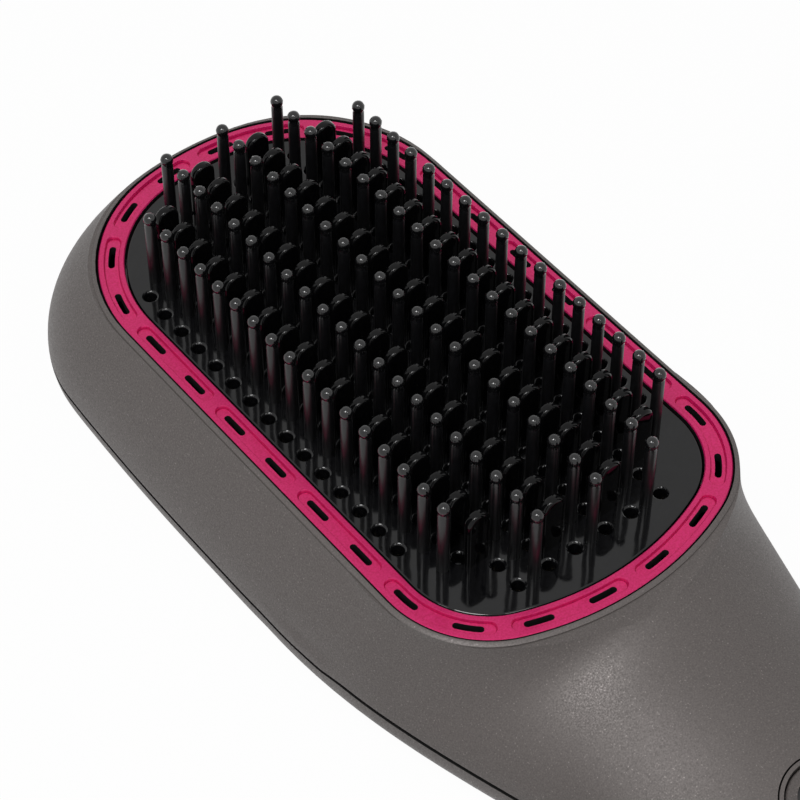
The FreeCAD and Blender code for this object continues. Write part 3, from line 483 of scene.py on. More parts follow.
def dome_loop(bm, y, inset, scale, base):
    """One section of the front half: short sides, corner arcs and a flatter arc on top."""
    known = set(bm.edges)
    half = (neck_half(y) - inset) * scale
    rise = (between(NECK_TOP, GRIP_TOP, ease(-y, *TOP_RUN)) - SEAM - inset) * scale
    side = between(NECK_SIDE, GRIP_SIDE, ease(-y, *SIDE_RUN)) * scale
    corner = (DOME_CORNER - inset) * scale
    bow = rise - side
    top_radius = (half ** 2 + bow ** 2 - 2 * half * corner) / (2 * (bow - corner))
    corner_x, corner_z = half - corner, SEAM + side
    top_z = SEAM + rise - top_radius
    turn = math.atan2(corner_z - top_z, corner_x)
    first = bm.verts.new((half, y, base))
    vert = step_to(bm, first, (half, y, corner_z))
    vert = swing(bm, vert, (corner_x, y, corner_z), SIDEWAYS, -turn, CORNER_STEPS)
    vert = swing(bm, vert, (0, y, top_z), SIDEWAYS, 2 * turn - math.pi, TOP_STEPS)
    vert = swing(bm, vert, (-corner_x, y, corner_z), SIDEWAYS, -turn, CORNER_STEPS)
    vert = step_to(bm, vert, (-half, y, base))
    bm.edges.new((vert, first))
    return [edge for edge in bm.edges if edge not in known]


def hull_loop(bm, y, inset, scale, top):
    """One section of the back half: flat below, with a quarter ellipse at each side."""
    known = set(bm.edges)
    half = (neck_half(y) - inset) * scale
    across = BACK_ROUND * scale
    rise = (SEAM - inset) * scale
    first = bm.verts.new((half, y, top))
    vert = step_to(bm, first, (half, y, SEAM))
    drawn = set(bm.verts)
    vert = swing(bm, vert, (half - across, y, SEAM), SIDEWAYS, math.pi / 2, CORNER_STEPS)
    vert = step_to(bm, vert, (across - half, y, SEAM - across))
    vert = swing(bm, vert, (across - half, y, SEAM), SIDEWAYS, math.pi / 2, CORNER_STEPS)
    arcs = [v for v in bm.verts if v not in drawn]
    bmesh.ops.scale(bm, vec=(1, 1, rise / across), verts=arcs, space=Matrix.Translation((0, 0, -SEAM)))
    vert = step_to(bm, vert, (-half, y, top))
    bm.edges.new((vert, first))
    return [edge for edge in bm.edges if edge not in known]


print("neck is", round(2 * neck_half(-70), 1), "mm wide at the end of the ring's lip")

# %% [markdown]
# Along the handle the sections stand close together where the neck changes and far apart on the straight
# grip. At the end they shrink along a quarter circle, which rounds it. A voxel remesh then lays one new
# skin round head and handle. It takes away the crease between them but leaves small steps, so every
# point is relaxed a little. The hollow between head and neck is relaxed far more, in a zone that gets
# smaller step by step, so that it fades out. Level cuts part the skin into front and back. They leave a
# little to spare at the seam, for a clean cut later.

# %% Melt head and handle into one skin
HANDLE_END = 220
GRIP_START = 106
END_ROUND = 8.0
END_SHRINK = 0.2
VOXEL = 0.6
ALL_ROUNDS = 6
FOLD_LOW, FOLD_HIGH, FOLD_Z = -60, -46, 24
FOLD_REACH = 18
FOLD_STEPS = 26
FOLD_ROUNDS = 14
SNAP = 0.08
LIP = 0.6
SPARE = 2.0


def handle_solid(bm, section, inset, start, end, edge):
    """Neck, straight grip and rounded end, skinned along the handle."""
    shoulder = end - END_ROUND
    stations = [(y, 1.0) for y in range(-start, -GRIP_START, -4)]
    stations += [(-y, 1.0) for y in (GRIP_START, 140, 175, shoulder)]
    for degrees in (20, 40, 60, 75, 90):
        turn = math.radians(degrees)
        stations.append((-shoulder - END_ROUND * math.sin(turn), 1 - END_SHRINK * (1 - math.cos(turn))))
    skin(bm, [section(bm, y, inset, scale, edge) for y, scale in stations])


def melt(name, bm):
    """One closed skin round everything in bm, as a new bmesh in millimetres."""
    thing = mesh_object(name, bm)
    remesh = thing.modifiers.new("melt", "REMESH")
    remesh.mode = "VOXEL"
    remesh.voxel_size = VOXEL * MM
    apply_modifiers(thing)
    return take_bmesh(thing)


def relax(bm, verts, rounds):
    for _ in range(rounds):
        bmesh.ops.smooth_vert(bm, verts=verts, factor=0.5, use_axis_x=True, use_axis_y=True, use_axis_z=True)


def slice_flat(bm, z, keep_above):
    """Cuts the skin level at height z and closes the cut."""
    geometry = bm.verts[:] + bm.edges[:] + bm.faces[:]
    bmesh.ops.bisect_plane(bm, geom=geometry, dist=SNAP, plane_co=(0, 0, z), plane_no=UP,
                           clear_inner=keep_above, clear_outer=not keep_above)
    bmesh.ops.holes_fill(bm, edges=[edge for edge in bm.edges if edge.is_boundary], sides=0)


flares = (SEAM_FLARE, ROOT_FLARE, TIP_FLARE)
levels = [(*(f - shrink for f in flares), z) for shrink, z in reversed(back_levels(0, SEAM)[1:])]
levels += [(*flare(z), z) for z in (12.5, 15, 17.5, 20, 22.5, 25, 27.5, 29, RIM)]
levels += [(RIM_FLARE, ROOT_RIM_FLARE, RIM_FLARE, z) for z in (35, 40)]
whole = bmesh.new()
skin(whole, [head_loop(whole, *level, steps=16) for level in levels])
draw_in(whole)
handle_solid(whole, dome_loop, inset=0, start=34, end=HANDLE_END, edge=7.0)
handle_solid(whole, hull_loop, inset=0, start=14, end=HANDLE_END, edge=12.0)
whole = melt("housing_melt", whole)
relax(whole, whole.verts[:], ALL_ROUNDS)
for step in range(FOLD_STEPS):
    reach = FOLD_REACH - 0.5 * step
    fold = [v for v in whole.verts
            if FOLD_LOW - reach < v.co.y < FOLD_HIGH + reach and v.co.z > FOLD_Z - reach]
    relax(whole, fold, FOLD_ROUNDS)
rear = whole.copy()
front = whole
slice_flat(front, SEAM - SPARE, keep_above=True)
slice_flat(front, RIM - LIP, keep_above=False)
slice_flat(rear, SEAM + SPARE, keep_above=False)
print("front skin has", len(front.faces), "faces, back skin", len(rear.faces))

# %% [markdown]
# The paint is a warm gunmetal lacquer with metal flake, sprayed on moulded ABS. To the eye it is satin:
# broad soft highlights, with a fine sparkle where single flakes catch the light. The flakes are a noise
# of a quarter of a millimetre. That is coarser than real flake, but as coarse as it needs to be to show
# in the picture. Colour, gloss and a slight bump all follow the same noise, because a flake near the
# surface is lighter and smoother than the lacquer round it.

# %% Finish: flake lacquer
FLAKE = 0.25 * MM
FLAKE_HEIGHT = 0.03 * MM
FLAKE_GLOSS = 0.12


def flake_lacquer(name, dark, light, glint, roughness):
    material, tree, shader, coords = start_material(name)
    flakes = add(tree, "ShaderNodeTexNoise", {"Vector": coords, "Scale": 1 / FLAKE, "Detail": 2.0})
    ramp = add(tree, "ShaderNodeValToRGB", {"Fac": flakes.outputs["Fac"]})
    ramp.color_ramp.elements[0].position = 0.30
    ramp.color_ramp.elements[0].color = hex_colour(dark)
    ramp.color_ramp.elements[1].position = 0.68
    ramp.color_ramp.elements[1].color = hex_colour(light)
    ramp.color_ramp.elements.new(0.76).color = hex_colour(glint)
    gloss = add(tree, "ShaderNodeMapRange", {
        "Value": flakes.outputs["Fac"], "From Min": 0.3, "From Max": 0.7,
        "To Min": roughness + FLAKE_GLOSS, "To Max": roughness - FLAKE_GLOSS,
    })
    bump = add(tree, "ShaderNodeBump",
               {"Height": flakes.outputs["Fac"], "Strength": 0.08, "Distance": FLAKE_HEIGHT})
    tree.links.new(ramp.outputs["Color"], shader.inputs["Base Color"])
    tree.links.new(gloss.outputs[0], shader.inputs["Roughness"])
    tree.links.new(bump.outputs["Normal"], shader.inputs["Normal"])
    shader.inputs["Metallic"].default_value = 0.3
    return material


housing_paint = flake_lacquer("flake_lacquer_on_abs", "#55504e", "#615b59", "#88817e", 0.52)
print("finish", housing_paint.name)

# %% [markdown]
# Many small pieces have a plain finish: one colour with a fine grain in it, whose gloss varies a little with
# the grain. One function makes such a finish from two close tones, the grain's size in millimetres and the
# roughness. A near-black lining is painted shade: it lines the inside of the housing, its cut faces at the
# seam, its bores and the ring's upright walls and slots, so that every gap and slot of this brush looks
# black.

# %% Finish: grained, and near-black painted shade
def grained(name, dark, light, grain, roughness, metallic=0.0, ior=1.5):
    material, tree, shader, coords = start_material(name)
    noise = add(tree, "ShaderNodeTexNoise", {"Vector": coords, "Scale": 1 / (grain * MM), "Detail": 2.0})
    ramp = add(tree, "ShaderNodeValToRGB", {"Fac": noise.outputs["Fac"]})
    ramp.color_ramp.elements[0].position = 0.3
    ramp.color_ramp.elements[0].color = hex_colour(dark)
    ramp.color_ramp.elements[1].position = 0.7
    ramp.color_ramp.elements[1].color = hex_colour(light)
    haze = add(tree, "ShaderNodeMapRange",
               {"Value": noise.outputs["Fac"], "To Min": roughness * 0.8, "To Max": roughness * 1.2})
    tree.links.new(ramp.outputs["Color"], shader.inputs["Base Color"])
    tree.links.new(haze.outputs[0], shader.inputs["Roughness"])
    shader.inputs["Metallic"].default_value = metallic
    shader.inputs["IOR"].default_value = ior
    return material


# Near-black painted shade, for every gap, slot, bore and hollow of the brush.
shade_black = grained("painted_shade_black", "#040404", "#080808", 0.6, 0.8, ior=1.3)
print("finish", shade_black.name)

# %% [markdown]
# Inside, the housing is hollow, with a seat for the vent ring and bores for the bezel, the buttons, the
# light guide and the cord gland. Holes could be modelled into the faces, but a remeshed skin has no loops
# to follow. So each hollow is a closed shape of its own, and a boolean takes it away. Four plain shapes
# do most of the work: an upright rod, a rod through the handle's end, a bar with round ends and a block.

# %% Cutting shapes
ROUND = 40
FINE_ROUND = 64
BAR_STEPS = 12
GLAND_BORE = 4.6
GLAND_BORE_Y = -218.0
GLAND_BORE_LENGTH = 12.0
BRUSH_MIDDLE = -80
BLOCK_WIDTH, BLOCK_LENGTH = 120, 360


def rod(x, y, radius, low, high, sides=ROUND):
    bm = bmesh.new()
    middle = Matrix.Translation((x, y, (low + high) / 2))
    bmesh.ops.create_cone(bm, cap_ends=True, segments=sides, radius1=radius, radius2=radius,
                          depth=high - low, matrix=middle)
    return bm


def gland_bore():
    """A rod along the handle, through its end wall."""
    bm = bmesh.new()
    middle = Matrix.Translation((0, GLAND_BORE_Y, SEAM)) @ Matrix.Rotation(math.pi / 2, 4, "X")
    bmesh.ops.create_cone(bm, cap_ends=True, segments=ROUND, radius1=GLAND_BORE, radius2=GLAND_BORE,
                          depth=GLAND_BORE_LENGTH, matrix=middle)
    return bm


def stadium(y, length, width, low, high):
    """A flat-sided bar along the handle with round ends."""
    bm = bmesh.new()
    run = (length - width) / 2
    loops = []
    for z in (low, high):
        known = set(bm.edges)
        first = bm.verts.new((width / 2, y - run, z))
        vert = step_to(bm, first, (width / 2, y + run, z))
        vert = swing(bm, vert, (0, y + run, z), UP, math.pi, BAR_STEPS)
        vert = step_to(bm, vert, (-width / 2, y - run, z))
        swing(bm, vert, (0, y - run, z), UP, math.pi, BAR_STEPS)
        bmesh.ops.remove_doubles(bm, verts=bm.verts, dist=WELD)
        loops.append([edge for edge in bm.edges if edge not in known])
    skin(bm, loops)
    return bm


def bar(x, y, z, length, width, depth):
    """A block, centred on a place, with its length across the handle and its width along it."""
    bm = bmesh.new()
    bmesh.ops.create_cube(bm, size=1.0)
    bmesh.ops.scale(bm, vec=(length, width, depth), verts=bm.verts)
    bmesh.ops.translate(bm, vec=(x, y, z), verts=bm.verts)
    return bm


def trim_block(low):
    """A block as large as the whole brush, which trims one half level."""
    return bar(0, BRUSH_MIDDLE, low + SPARE, BLOCK_WIDTH, BLOCK_LENGTH, 2 * SPARE)


bm = gland_bore()
print("the gland's bore is cut with", len(bm.faces), "faces")
bm.free()

# %% [markdown]
# The front half's hollow comes from the same loops as its outside, moved in by the wall. Before it is cut, a
# collar is carried round the rim and joined on: the melt leaves the rim a little soft, and the real one is
# crisp, with a small chamfer. A copy of the solid form is kept for the pieces that lie flush with the neck.
# The cut face at the seam, the hollow and the bores are lined with the near-black painted shade, so paint
# ends at their edges and the gaps read dark.

# %% Hollow and bores of the front half
WALL = 2.2
INNER_END = 214.3
COLLAR_IN, COLLAR_OUT, COLLAR_LOW = -2.0, 1.05, 25.0
CHAMFER_OUT, CHAMFER_DOWN = 0.6, 0.35
RING_LOW = 27.8
RING_PLAY = 0.32
LEDGE = 1.2
LEDGE_LOW = 24
BORE_LOW, BORE_HIGH = 9, 30
POWER_Y = -96.8
POWER_BORE = 7.0
BEZEL_SEAT = 7.85
BEZEL_SEAT_LOW = 22.3
KEY_UP_Y = -126.0
KEY_DOWN_Y = -138.5
KEY_BORE = 4.25
GUIDE_Y = -112.0
GUIDE_LENGTH = 12.0
GUIDE_WIDTH = 3.0
GUIDE_PLAY = 0.5

front_form = mesh_object("front_housing_skin", front, housing_paint)
# The cut face at the seam is lined with painted shade, so the seam reads as a dark line.
carve(front_form, trim_block(SEAM - 2 * SPARE), shade_black)
solid_form = front_form.data.copy()
collar = [(COLLAR_IN, COLLAR_LOW), (COLLAR_OUT, COLLAR_LOW), (COLLAR_OUT, RIM - CHAMFER_DOWN),
          (CHAMFER_OUT, RIM), (COLLAR_IN, RIM)]
carve(front_form, carry_round(collar, steps=24), operation="UNION")

# The hollows of head and handle, and the bores below, are lined with painted shade.
hollow = bmesh.new()
skin(hollow, [head_loop(hollow, *(f - WALL for f in flare(z)), z) for z in (8, 14, 20, 25.8)])
draw_in(hollow)
carve(front_form, hollow, shade_black)
hollow = bmesh.new()
handle_solid(hollow, dome_loop, inset=WALL, start=61, end=INNER_END, edge=8.0)
carve(front_form, hollow, shade_black)
for shape in (
    head_slab(RING_PLAY, RING_LOW, RIM + 2 * SPARE, steps=16),
    head_slab(-LEDGE, LEDGE_LOW, RIM, steps=16),
    rod(0, POWER_Y, BEZEL_SEAT, BEZEL_SEAT_LOW, BORE_HIGH + SPARE, FINE_ROUND),
    rod(0, POWER_Y, POWER_BORE, BORE_LOW, BORE_HIGH, FINE_ROUND),
    rod(0, KEY_UP_Y, KEY_BORE, BORE_LOW, BORE_HIGH),
    rod(0, KEY_DOWN_Y, KEY_BORE, BORE_LOW, BORE_HIGH),
    stadium(GUIDE_Y, GUIDE_LENGTH + GUIDE_PLAY, GUIDE_WIDTH + GUIDE_PLAY, BORE_LOW, BORE_HIGH),
    gland_bore(),
):
    carve(front_form, shape, shade_black)
settle(front_form, "front_housing")

# %% [markdown]
# The back half is a shallow tray with a flat back that the brush lies on. It is the lower slice of the same
# skin, so its edge follows the front half all the way round, and the thin gap between the two is the dark
# line that runs round the brush. The faces at that gap and the inside of the tray are lined with near-black
# painted shade. Five posts inside it hold the screws, whose heads sink into counterbores.

# %% Back half
SEAM_GAP = 0.75
TRAY_TOP = 11.0
POST = 3.2
POST_LOW = 1.1
COUNTERBORE = 2.54
COUNTERBORE_TOP = 5
SCREW_SIDES = 24
SCREW_PLACES = [(0, 57.6), (17, -66), (-17, -66), (9.4, -199), (-9.4, -199)]

rear_form = mesh_object("rear_cover_skin", rear, housing_paint)
# The cut face at the seam, and below it the hollow, the posts and the counterbores, are lined with painted
# shade.
carve(rear_form, trim_block(SEAM - SEAM_GAP), shade_black)
hollow = bmesh.new()
levels = [(*(f - shrink for f in flares), z) for shrink, z in back_levels(WALL, TRAY_TOP)]
skin(hollow, [head_loop(hollow, *level) for level in levels])
draw_in(hollow)
carve(rear_form, hollow, shade_black)
hollow = bmesh.new()
handle_solid(hollow, hull_loop, inset=WALL, start=26, end=INNER_END, edge=TRAY_TOP)
carve(rear_form, hollow, shade_black)
for x, y in SCREW_PLACES:
    carve(rear_form, rod(x, y, POST, POST_LOW, SEAM - SEAM_GAP, SCREW_SIDES), shade_black, "UNION")
    carve(rear_form, rod(x, y, COUNTERBORE, -1, COUNTERBORE_TOP, SCREW_SIDES), shade_black)
carve(rear_form, gland_bore(), shade_black)
settle(rear_form, "rear_cover")

# %% [markdown]
# The vent ring lies round the plate. Long shallow recesses run along it, and each holds two slots that
# let warm air out. To cut them, a place along the ring has to be found. So the ring's middle line is
# drawn with fine steps, and its points are walked in order to measure it. A Curve modifier could bend the
# cutting shapes too, but it would stretch them a little at the corners.

# %% The ring's middle line
RING_WIDTH = 4.2
LINE_STEPS = 60
LINE_CUTS = 120


def ring_line():
    """Points of the ring's middle line, from the middle of the handle's end, anticlockwise."""
    bm = bmesh.new()
    inset = -RING_WIDTH / 2
    head_loop(bm, inset, inset, inset, 0, steps=LINE_STEPS)
    straight = [e for e in bm.edges if e.calc_length() > RING_WIDTH]
    bmesh.ops.subdivide_edges(bm, edges=straight, cuts=LINE_CUTS)
    vert = min(bm.verts, key=lambda v: (v.co.y, abs(v.co.x)))
    edge = max(vert.link_edges, key=lambda e: e.other_vert(vert).co.x)
    points = []
    for _ in range(len(bm.verts)):
        points.append(vert.co.copy())
        vert = edge.other_vert(vert)
        edge = next(e for e in vert.link_edges if e is not edge)
    bm.free()
    return points + points[:1]


line = ring_line()
lengths = [0.0]
for first, last in zip(line, line[1:]):
    lengths.append(lengths[-1] + (last - first).length)
RING_ROUND = lengths[-1]


def onto_ring(place):
    """Moves a point from a straight strip, along x and across y, onto the ring."""
    along = place.x % RING_ROUND
    low, high = 0, len(lengths) - 1
    while high - low > 1:
        middle = (low + high) // 2
        if lengths[middle] <= along:
            low = middle
        else:
            high = middle
    run = (line[high] - line[low]).normalized()
    inward = Vector((-run.y, run.x, 0))
    spot = line[low] + run * (along - lengths[low]) + inward * place.y
    return Vector((spot.x, spot.y, place.z))


print("ring is", round(RING_ROUND, 1), "mm round")

# %% [markdown]
# The ring's finish is a pearl lacquer on ABS: a strong satin fuchsia, a little lighter where it turns to
# the light, which a share of metallic gives. A fine noise breaks the gloss up, as the tiny orange peel of
# sprayed lacquer does.

# %% Finish: fuchsia lacquer
PEARL = 0.3 * MM
PEEL_HEIGHT = 0.02 * MM
fuchsia, tree, shader, coords = start_material("fuchsia_pearl_lacquer")
pearl = add(tree, "ShaderNodeTexNoise", {"Vector": coords, "Scale": 1 / PEARL, "Detail": 2.0})
ramp = add(tree, "ShaderNodeValToRGB", {"Fac": pearl.outputs["Fac"]})
ramp.color_ramp.elements[0].position = 0.3
ramp.color_ramp.elements[0].color = hex_colour("#be1156")
ramp.color_ramp.elements[1].position = 0.7
ramp.color_ramp.elements[1].color = hex_colour("#d5206d")
bump = add(tree, "ShaderNodeBump",
           {"Height": pearl.outputs["Fac"], "Strength": 0.1, "Distance": PEEL_HEIGHT})
tree.links.new(ramp.outputs["Color"], shader.inputs["Base Color"])
tree.links.new(bump.outputs["Normal"], shader.inputs["Normal"])
shader.inputs["Metallic"].default_value = 0.35
shader.inputs["Roughness"].default_value = 0.27
print("finish", fuchsia.name)

# %% [markdown]
# The ring itself is a small section with two chamfers that is carried round the outline. A recess is
# first a straight bar with round ends, and then every point of it is moved onto the middle line, so that
# it bends round the corners as the real one does. Its levels give it sloping walls and a soft upper edge.
# The slots are cut the same way, and their walls take the near-black painted shade. All the ring's upright
# walls get the same painted shade, so that the joints on both sides of the ring read as thin dark lines.

# %% Ring with recesses and slots
RECESSES = 14
RECESS_LENGTH = 18.6
RECESS_WIDTH = 2.3
RECESS_LEVELS = [(29.5, -0.12), (29.55, -0.12), (29.75, -0.04), (29.95, 0.04), (30.1, 0.2)]
SLOT_LENGTH = 4.6
SLOT_WIDTH = 1.0
SLOT_LEVELS = [(27, 0), (29.4, 0), (29.6, 0.06)]
BEND_STEPS = 8
BEND_CUTS = 10
RING_INNER = -4.15
RING_EDGE = 0.15
UPRIGHT = 0.2


def bar_on_ring(bm, middle, length, width, levels):
    """A straight bar with round ends: levels are heights with how far the bar is wider there."""
    loops = []
    for z, grow in levels:
        known = set(bm.edges)
        half = width / 2 + grow
        run = (length - width) / 2
        first = bm.verts.new((middle - run, -half, z))
        vert = step_to(bm, first, (middle + run, -half, z))
        vert = swing(bm, vert, (middle + run, 0, z), UP, math.pi, BEND_STEPS)
        vert = step_to(bm, vert, (middle - run, half, z))
        swing(bm, vert, (middle - run, 0, z), UP, math.pi, BEND_STEPS)
        new = [edge for edge in bm.edges if edge not in known]
        straight = [e for e in new if e.calc_length() > 2 * half]
        bmesh.ops.subdivide_edges(bm, edges=straight, cuts=BEND_CUTS)
        # A dict keeps the points in the order they were drawn, so every run gives the same mesh.
        fresh = dict.fromkeys(v for e in bm.edges if e not in known for v in e.verts)
        bmesh.ops.remove_doubles(bm, verts=list(fresh), dist=WELD)
        loops.append([edge for edge in bm.edges if edge not in known])
    skin(bm, loops)


def cut_round(ring, count, length, width, levels, lining=None):
    """Cuts a number of bars out of the ring, evenly along its middle line."""
    cuts = bmesh.new()
    for i in range(count):
        bar_on_ring(cuts, (i + 0.5) * (RING_ROUND / count), length, width, levels)
    for vert in cuts.verts:
        vert.co = onto_ring(vert.co)
    carve(ring, cuts, lining)


profile = [(0, RING_LOW), (0, RIM - RING_EDGE), (-RING_EDGE, RIM), (RING_INNER + RING_EDGE, RIM),
           (RING_INNER, RIM - RING_EDGE), (RING_INNER, RING_LOW)]
ring = mesh_object("vent_ring_moulding", carry_round(profile, steps=24), fuchsia)
cut_round(ring, RECESSES, RECESS_LENGTH, RECESS_WIDTH, RECESS_LEVELS)
# The slot walls are lined with painted shade.
cut_round(ring, 2 * RECESSES, SLOT_LENGTH, SLOT_WIDTH, SLOT_LEVELS, shade_black)
settle(ring, "vent_ring")
# Upright walls are painted black: painted shade for the dark joints beside the ring.
for face in ring.data.polygons:
    if abs(face.normal.z) < UPRIGHT:
        face.material_index = 1

# %% [markdown]
# The bristle field is a regular grid: five columns of pins, four columns of flat teeth between them, and
# small vent holes beside the pins. Few numbers describe it: where a column stands, how many it holds, and
# the one distance between rows. A row of holes also runs along each side, near the ring, and its last
# holes turn in with the corner of the tip.

# %% Places of pins, teeth and holes
ROW = 4.5
PIN_COLUMNS = [(-20.2, 17), (-10.7, 21), (0.0, 21), (10.7, 21), (20.2, 17)]
TOOTH_COLUMNS = [(-15.45, 18), (-5.35, 20), (5.35, 20), (15.45, 18)]
HOLE_BESIDE = 2.9
FIELD_HALF = 20
SIDE_HOLES = 15
SIDE_HOLE_SHIFT = 2.1
SIDE_HOLE_INSET = 6.8


def grid_places(columns):
    return [(x, (i - (count - 1) / 2) * ROW) for x, count in columns for i in range(count)]


pin_places = grid_places(PIN_COLUMNS)
tooth_places = grid_places(TOOTH_COLUMNS)
hole_places = []
# The side holes turn in from about where the corner of the tip begins.
corner_x = HALF_WIDTH - TIP_CORNER
turn_in = TIP_REACH - END_RADIUS + math.hypot(corner_x, END_RADIUS - TIP_CORNER)
for i in range(SIDE_HOLES):
    y = (i - SIDE_HOLES // 2) * ROW + SIDE_HOLE_SHIFT
    past = max(0, y - turn_in)
    x = corner_x + math.sqrt((TIP_CORNER - SIDE_HOLE_INSET) ** 2 - past ** 2)
    hole_places += [(-x, y), (x, y)]
for x, y in pin_places:
    hole_places += [(x + side, y) for side in (-HOLE_BESIDE, HOLE_BESIDE) if abs(x + side) < FIELD_HALF]
print(len(pin_places), "pins,", len(tooth_places), "teeth,", len(hole_places), "holes")

# %% [markdown]
# Pins, drills, caps, screws and the gland are all lathe work: a profile of radius and height is spun once
# round an axis. A shape that is needed often is made once and copied to its places in one mesh, because a
# hundred objects with a modifier each would be slow. The first one is the drill for the vent holes. Its
# profile ends in a rounded countersink, which gives each hole its fine bright edge.

# %% Turned shapes and copies
PLATE_TOP = 29.7
DRILL_SIDES = 16
DRILL = [(0, -4), (0.95, -4), (0.95, -0.45), (1.02, -0.2), (1.18, -0.06), (1.4, 0.03), (0, 0.03)]


def turned(profile, sides):
    """A closed shape spun from a profile of radius and height, which is closed or ends on the axis."""
    bm = bmesh.new()
    vert = bm.verts.new((profile[0][0], 0, profile[0][1]))
    for radius, z in profile[1:]:
        vert = step_to(bm, vert, (radius, 0, z))
    bmesh.ops.spin(bm, geom=bm.verts[:] + bm.edges[:], cent=(0, 0, 0), axis=UP, angle=2 * math.pi,
                   steps=sides, use_merge=True)
    bmesh.ops.remove_doubles(bm, verts=bm.verts, dist=WELD)
    return bm


def copies(shape, places):
    """Copies of a shape at each place, in one bmesh."""
    mesh = bpy.data.meshes.new("copied")
    shape.to_mesh(mesh)
    shape.free()
    bm = bmesh.new()
    for x, y in places:
        known = set(bm.verts)
        bm.from_mesh(mesh)
        fresh = [v for v in bm.verts if v not in known]
        bmesh.ops.translate(bm, vec=(x, y, 0), verts=fresh)
    bpy.data.meshes.remove(mesh)
    return bm


drill = turned([(radius, PLATE_TOP + z) for radius, z in DRILL], DRILL_SIDES)
print("one drill has", len(drill.faces), "faces")

# %% [markdown]
# The hot plate is aluminium under gloss black ceramic. Fired ceramic is glassy: it mirrors the pins and
# the lamps. Waves of 5 mm in a bump make the mirror waver slightly, as a fired coat does. The plate is a
# slab of the head's outline with a bevelled edge, and a single boolean takes all the holes away. Its top
# is flat shaded, because smooth shading would bend the reflections round every hole.

# %% Plate
WAVE = 5 * MM
WAVE_HEIGHT = 0.2 * MM
PLATE_INSET = 4.4
PLATE_LOW = 27.3
PLATE_EDGE = 0.35
FLAT_UP = 0.999
ceramic = grained("gloss_black_ceramic", "#060607", "#0e0e10", 0.5, 0.07, ior=1.4)
tree = ceramic.node_tree
coords = add(tree, "ShaderNodeTexCoord").outputs["Object"]
waves = add(tree, "ShaderNodeTexNoise", {"Vector": coords, "Scale": 1 / WAVE, "Detail": 1.0})
ripple = add(tree, "ShaderNodeBump",
             {"Height": waves.outputs["Fac"], "Strength": 0.3, "Distance": WAVE_HEIGHT})
tree.links.new(ripple.outputs["Normal"], tree.nodes["Principled BSDF"].inputs["Normal"])

slab = head_slab(-PLATE_INSET, PLATE_LOW, PLATE_TOP, steps=20)
bmesh.ops.recalc_face_normals(slab, faces=slab.faces)
edges = [e for e in slab.edges if all(abs(v.co.z - PLATE_TOP) < WELD for v in e.verts)]
bmesh.ops.bevel(slab, geom=edges, offset=PLATE_EDGE, offset_type="OFFSET", segments=3, profile=0.5,
                affect="EDGES", material=-1)
plate = mesh_object("hot_plate", slab, ceramic)
carve(plate, copies(drill, hole_places))
settle(plate, "tooth_plate")
for face in plate.data.polygons:
    face.use_smooth = face.normal.z < FLAT_UP

# %% [markdown]
# Ninety-seven cool pins keep the scalp off the hot plate. A pin is a slim shaft with a ball on its end.
# It could be a cylinder and a sphere, but a single profile leaves no faces hidden inside. It is spun with
# only a dozen sides, because it is copied so often. All the pins are one piece. They are nylon: the
# shafts are satin from the mould, and the balls are polished, so the roughness falls near the top, by the
# height that the material reads.

# %% Pins
FOOT = PLATE_TOP - 0.3
SHAFT = 0.93
PIN_NECK = 0.8
BALL = 1.05
BALL_Z = PLATE_TOP + 13.6
PIN_SIDES = 12
SATIN, POLISHED = 0.28, 0.08
nylon = grained("satin_black_nylon", "#09090a", "#111113", 0.8, SATIN)
tree = nylon.node_tree
coords = add(tree, "ShaderNodeTexCoord").outputs["Object"]
height = add(tree, "ShaderNodeSeparateXYZ", {"Vector": coords})
polish = add(tree, "ShaderNodeMapRange", {
    "Value": height.outputs["Z"], "From Min": (BALL_Z - 1.2) * MM, "From Max": (BALL_Z - 0.8) * MM,
    "To Min": SATIN, "To Max": POLISHED,
})
tree.links.new(polish.outputs[0], tree.nodes["Principled BSDF"].inputs["Roughness"])

profile = [(0, FOOT), (SHAFT + 0.04, FOOT), (SHAFT, BALL_Z - 1.1), (PIN_NECK, BALL_Z - 0.8)]
for degrees in (-40, -15, 12, 40, 66, 90):
    turn = math.radians(degrees)
    profile.append((BALL * math.cos(turn) if degrees < 90 else 0, BALL_Z + BALL * math.sin(turn)))
pins = mesh_object("ball_pins", copies(turned(profile, PIN_SIDES), pin_places), nylon)
settle(pins, "bristle_pins")

# %% [markdown]
# Flat hot teeth with tongue-shaped tops stand between the rows of pins, a little nearer the tip. A scaled
# ball would be too round. The tongue's outline is drawn once, its top swung over with spin, then it is
# filled, extruded to its thickness, and its edges are bevelled round. The bevel is what catches the thin
# bright arc on every tooth. Their ceramic is a thin glassy coat, which reads blacker than the plate.

# %% Teeth
TOOTH_HALF = 2.0
TOOTH_DEEP = 1.6
TOOTH_TOP = PLATE_TOP + 10.7
TOOTH_SHIFT = 0.6
TOOTH_EDGE = 0.52
TONGUE_STEPS = 10
front_y = -TOOTH_DEEP / 2
arc_z = TOOTH_TOP - TOOTH_HALF
bm = bmesh.new()
first = bm.verts.new((TOOTH_HALF, front_y, FOOT))
vert = step_to(bm, first, (TOOTH_HALF, front_y, arc_z))
vert = swing(bm, vert, (0, front_y, arc_z), SIDEWAYS, -math.pi, TONGUE_STEPS)
vert = step_to(bm, vert, (-TOOTH_HALF, front_y, FOOT))
bm.edges.new((vert, first))
tongue = bmesh.ops.edgeloop_fill(bm, edges=bm.edges[:])["faces"]
grown = bmesh.ops.extrude_face_region(bm, geom=tongue)["geom"]
far_side = [g for g in grown if isinstance(g, bmesh.types.BMVert)]
bmesh.ops.translate(bm, vec=(0, TOOTH_DEEP, 0), verts=far_side)
bmesh.ops.recalc_face_normals(bm, faces=bm.faces)
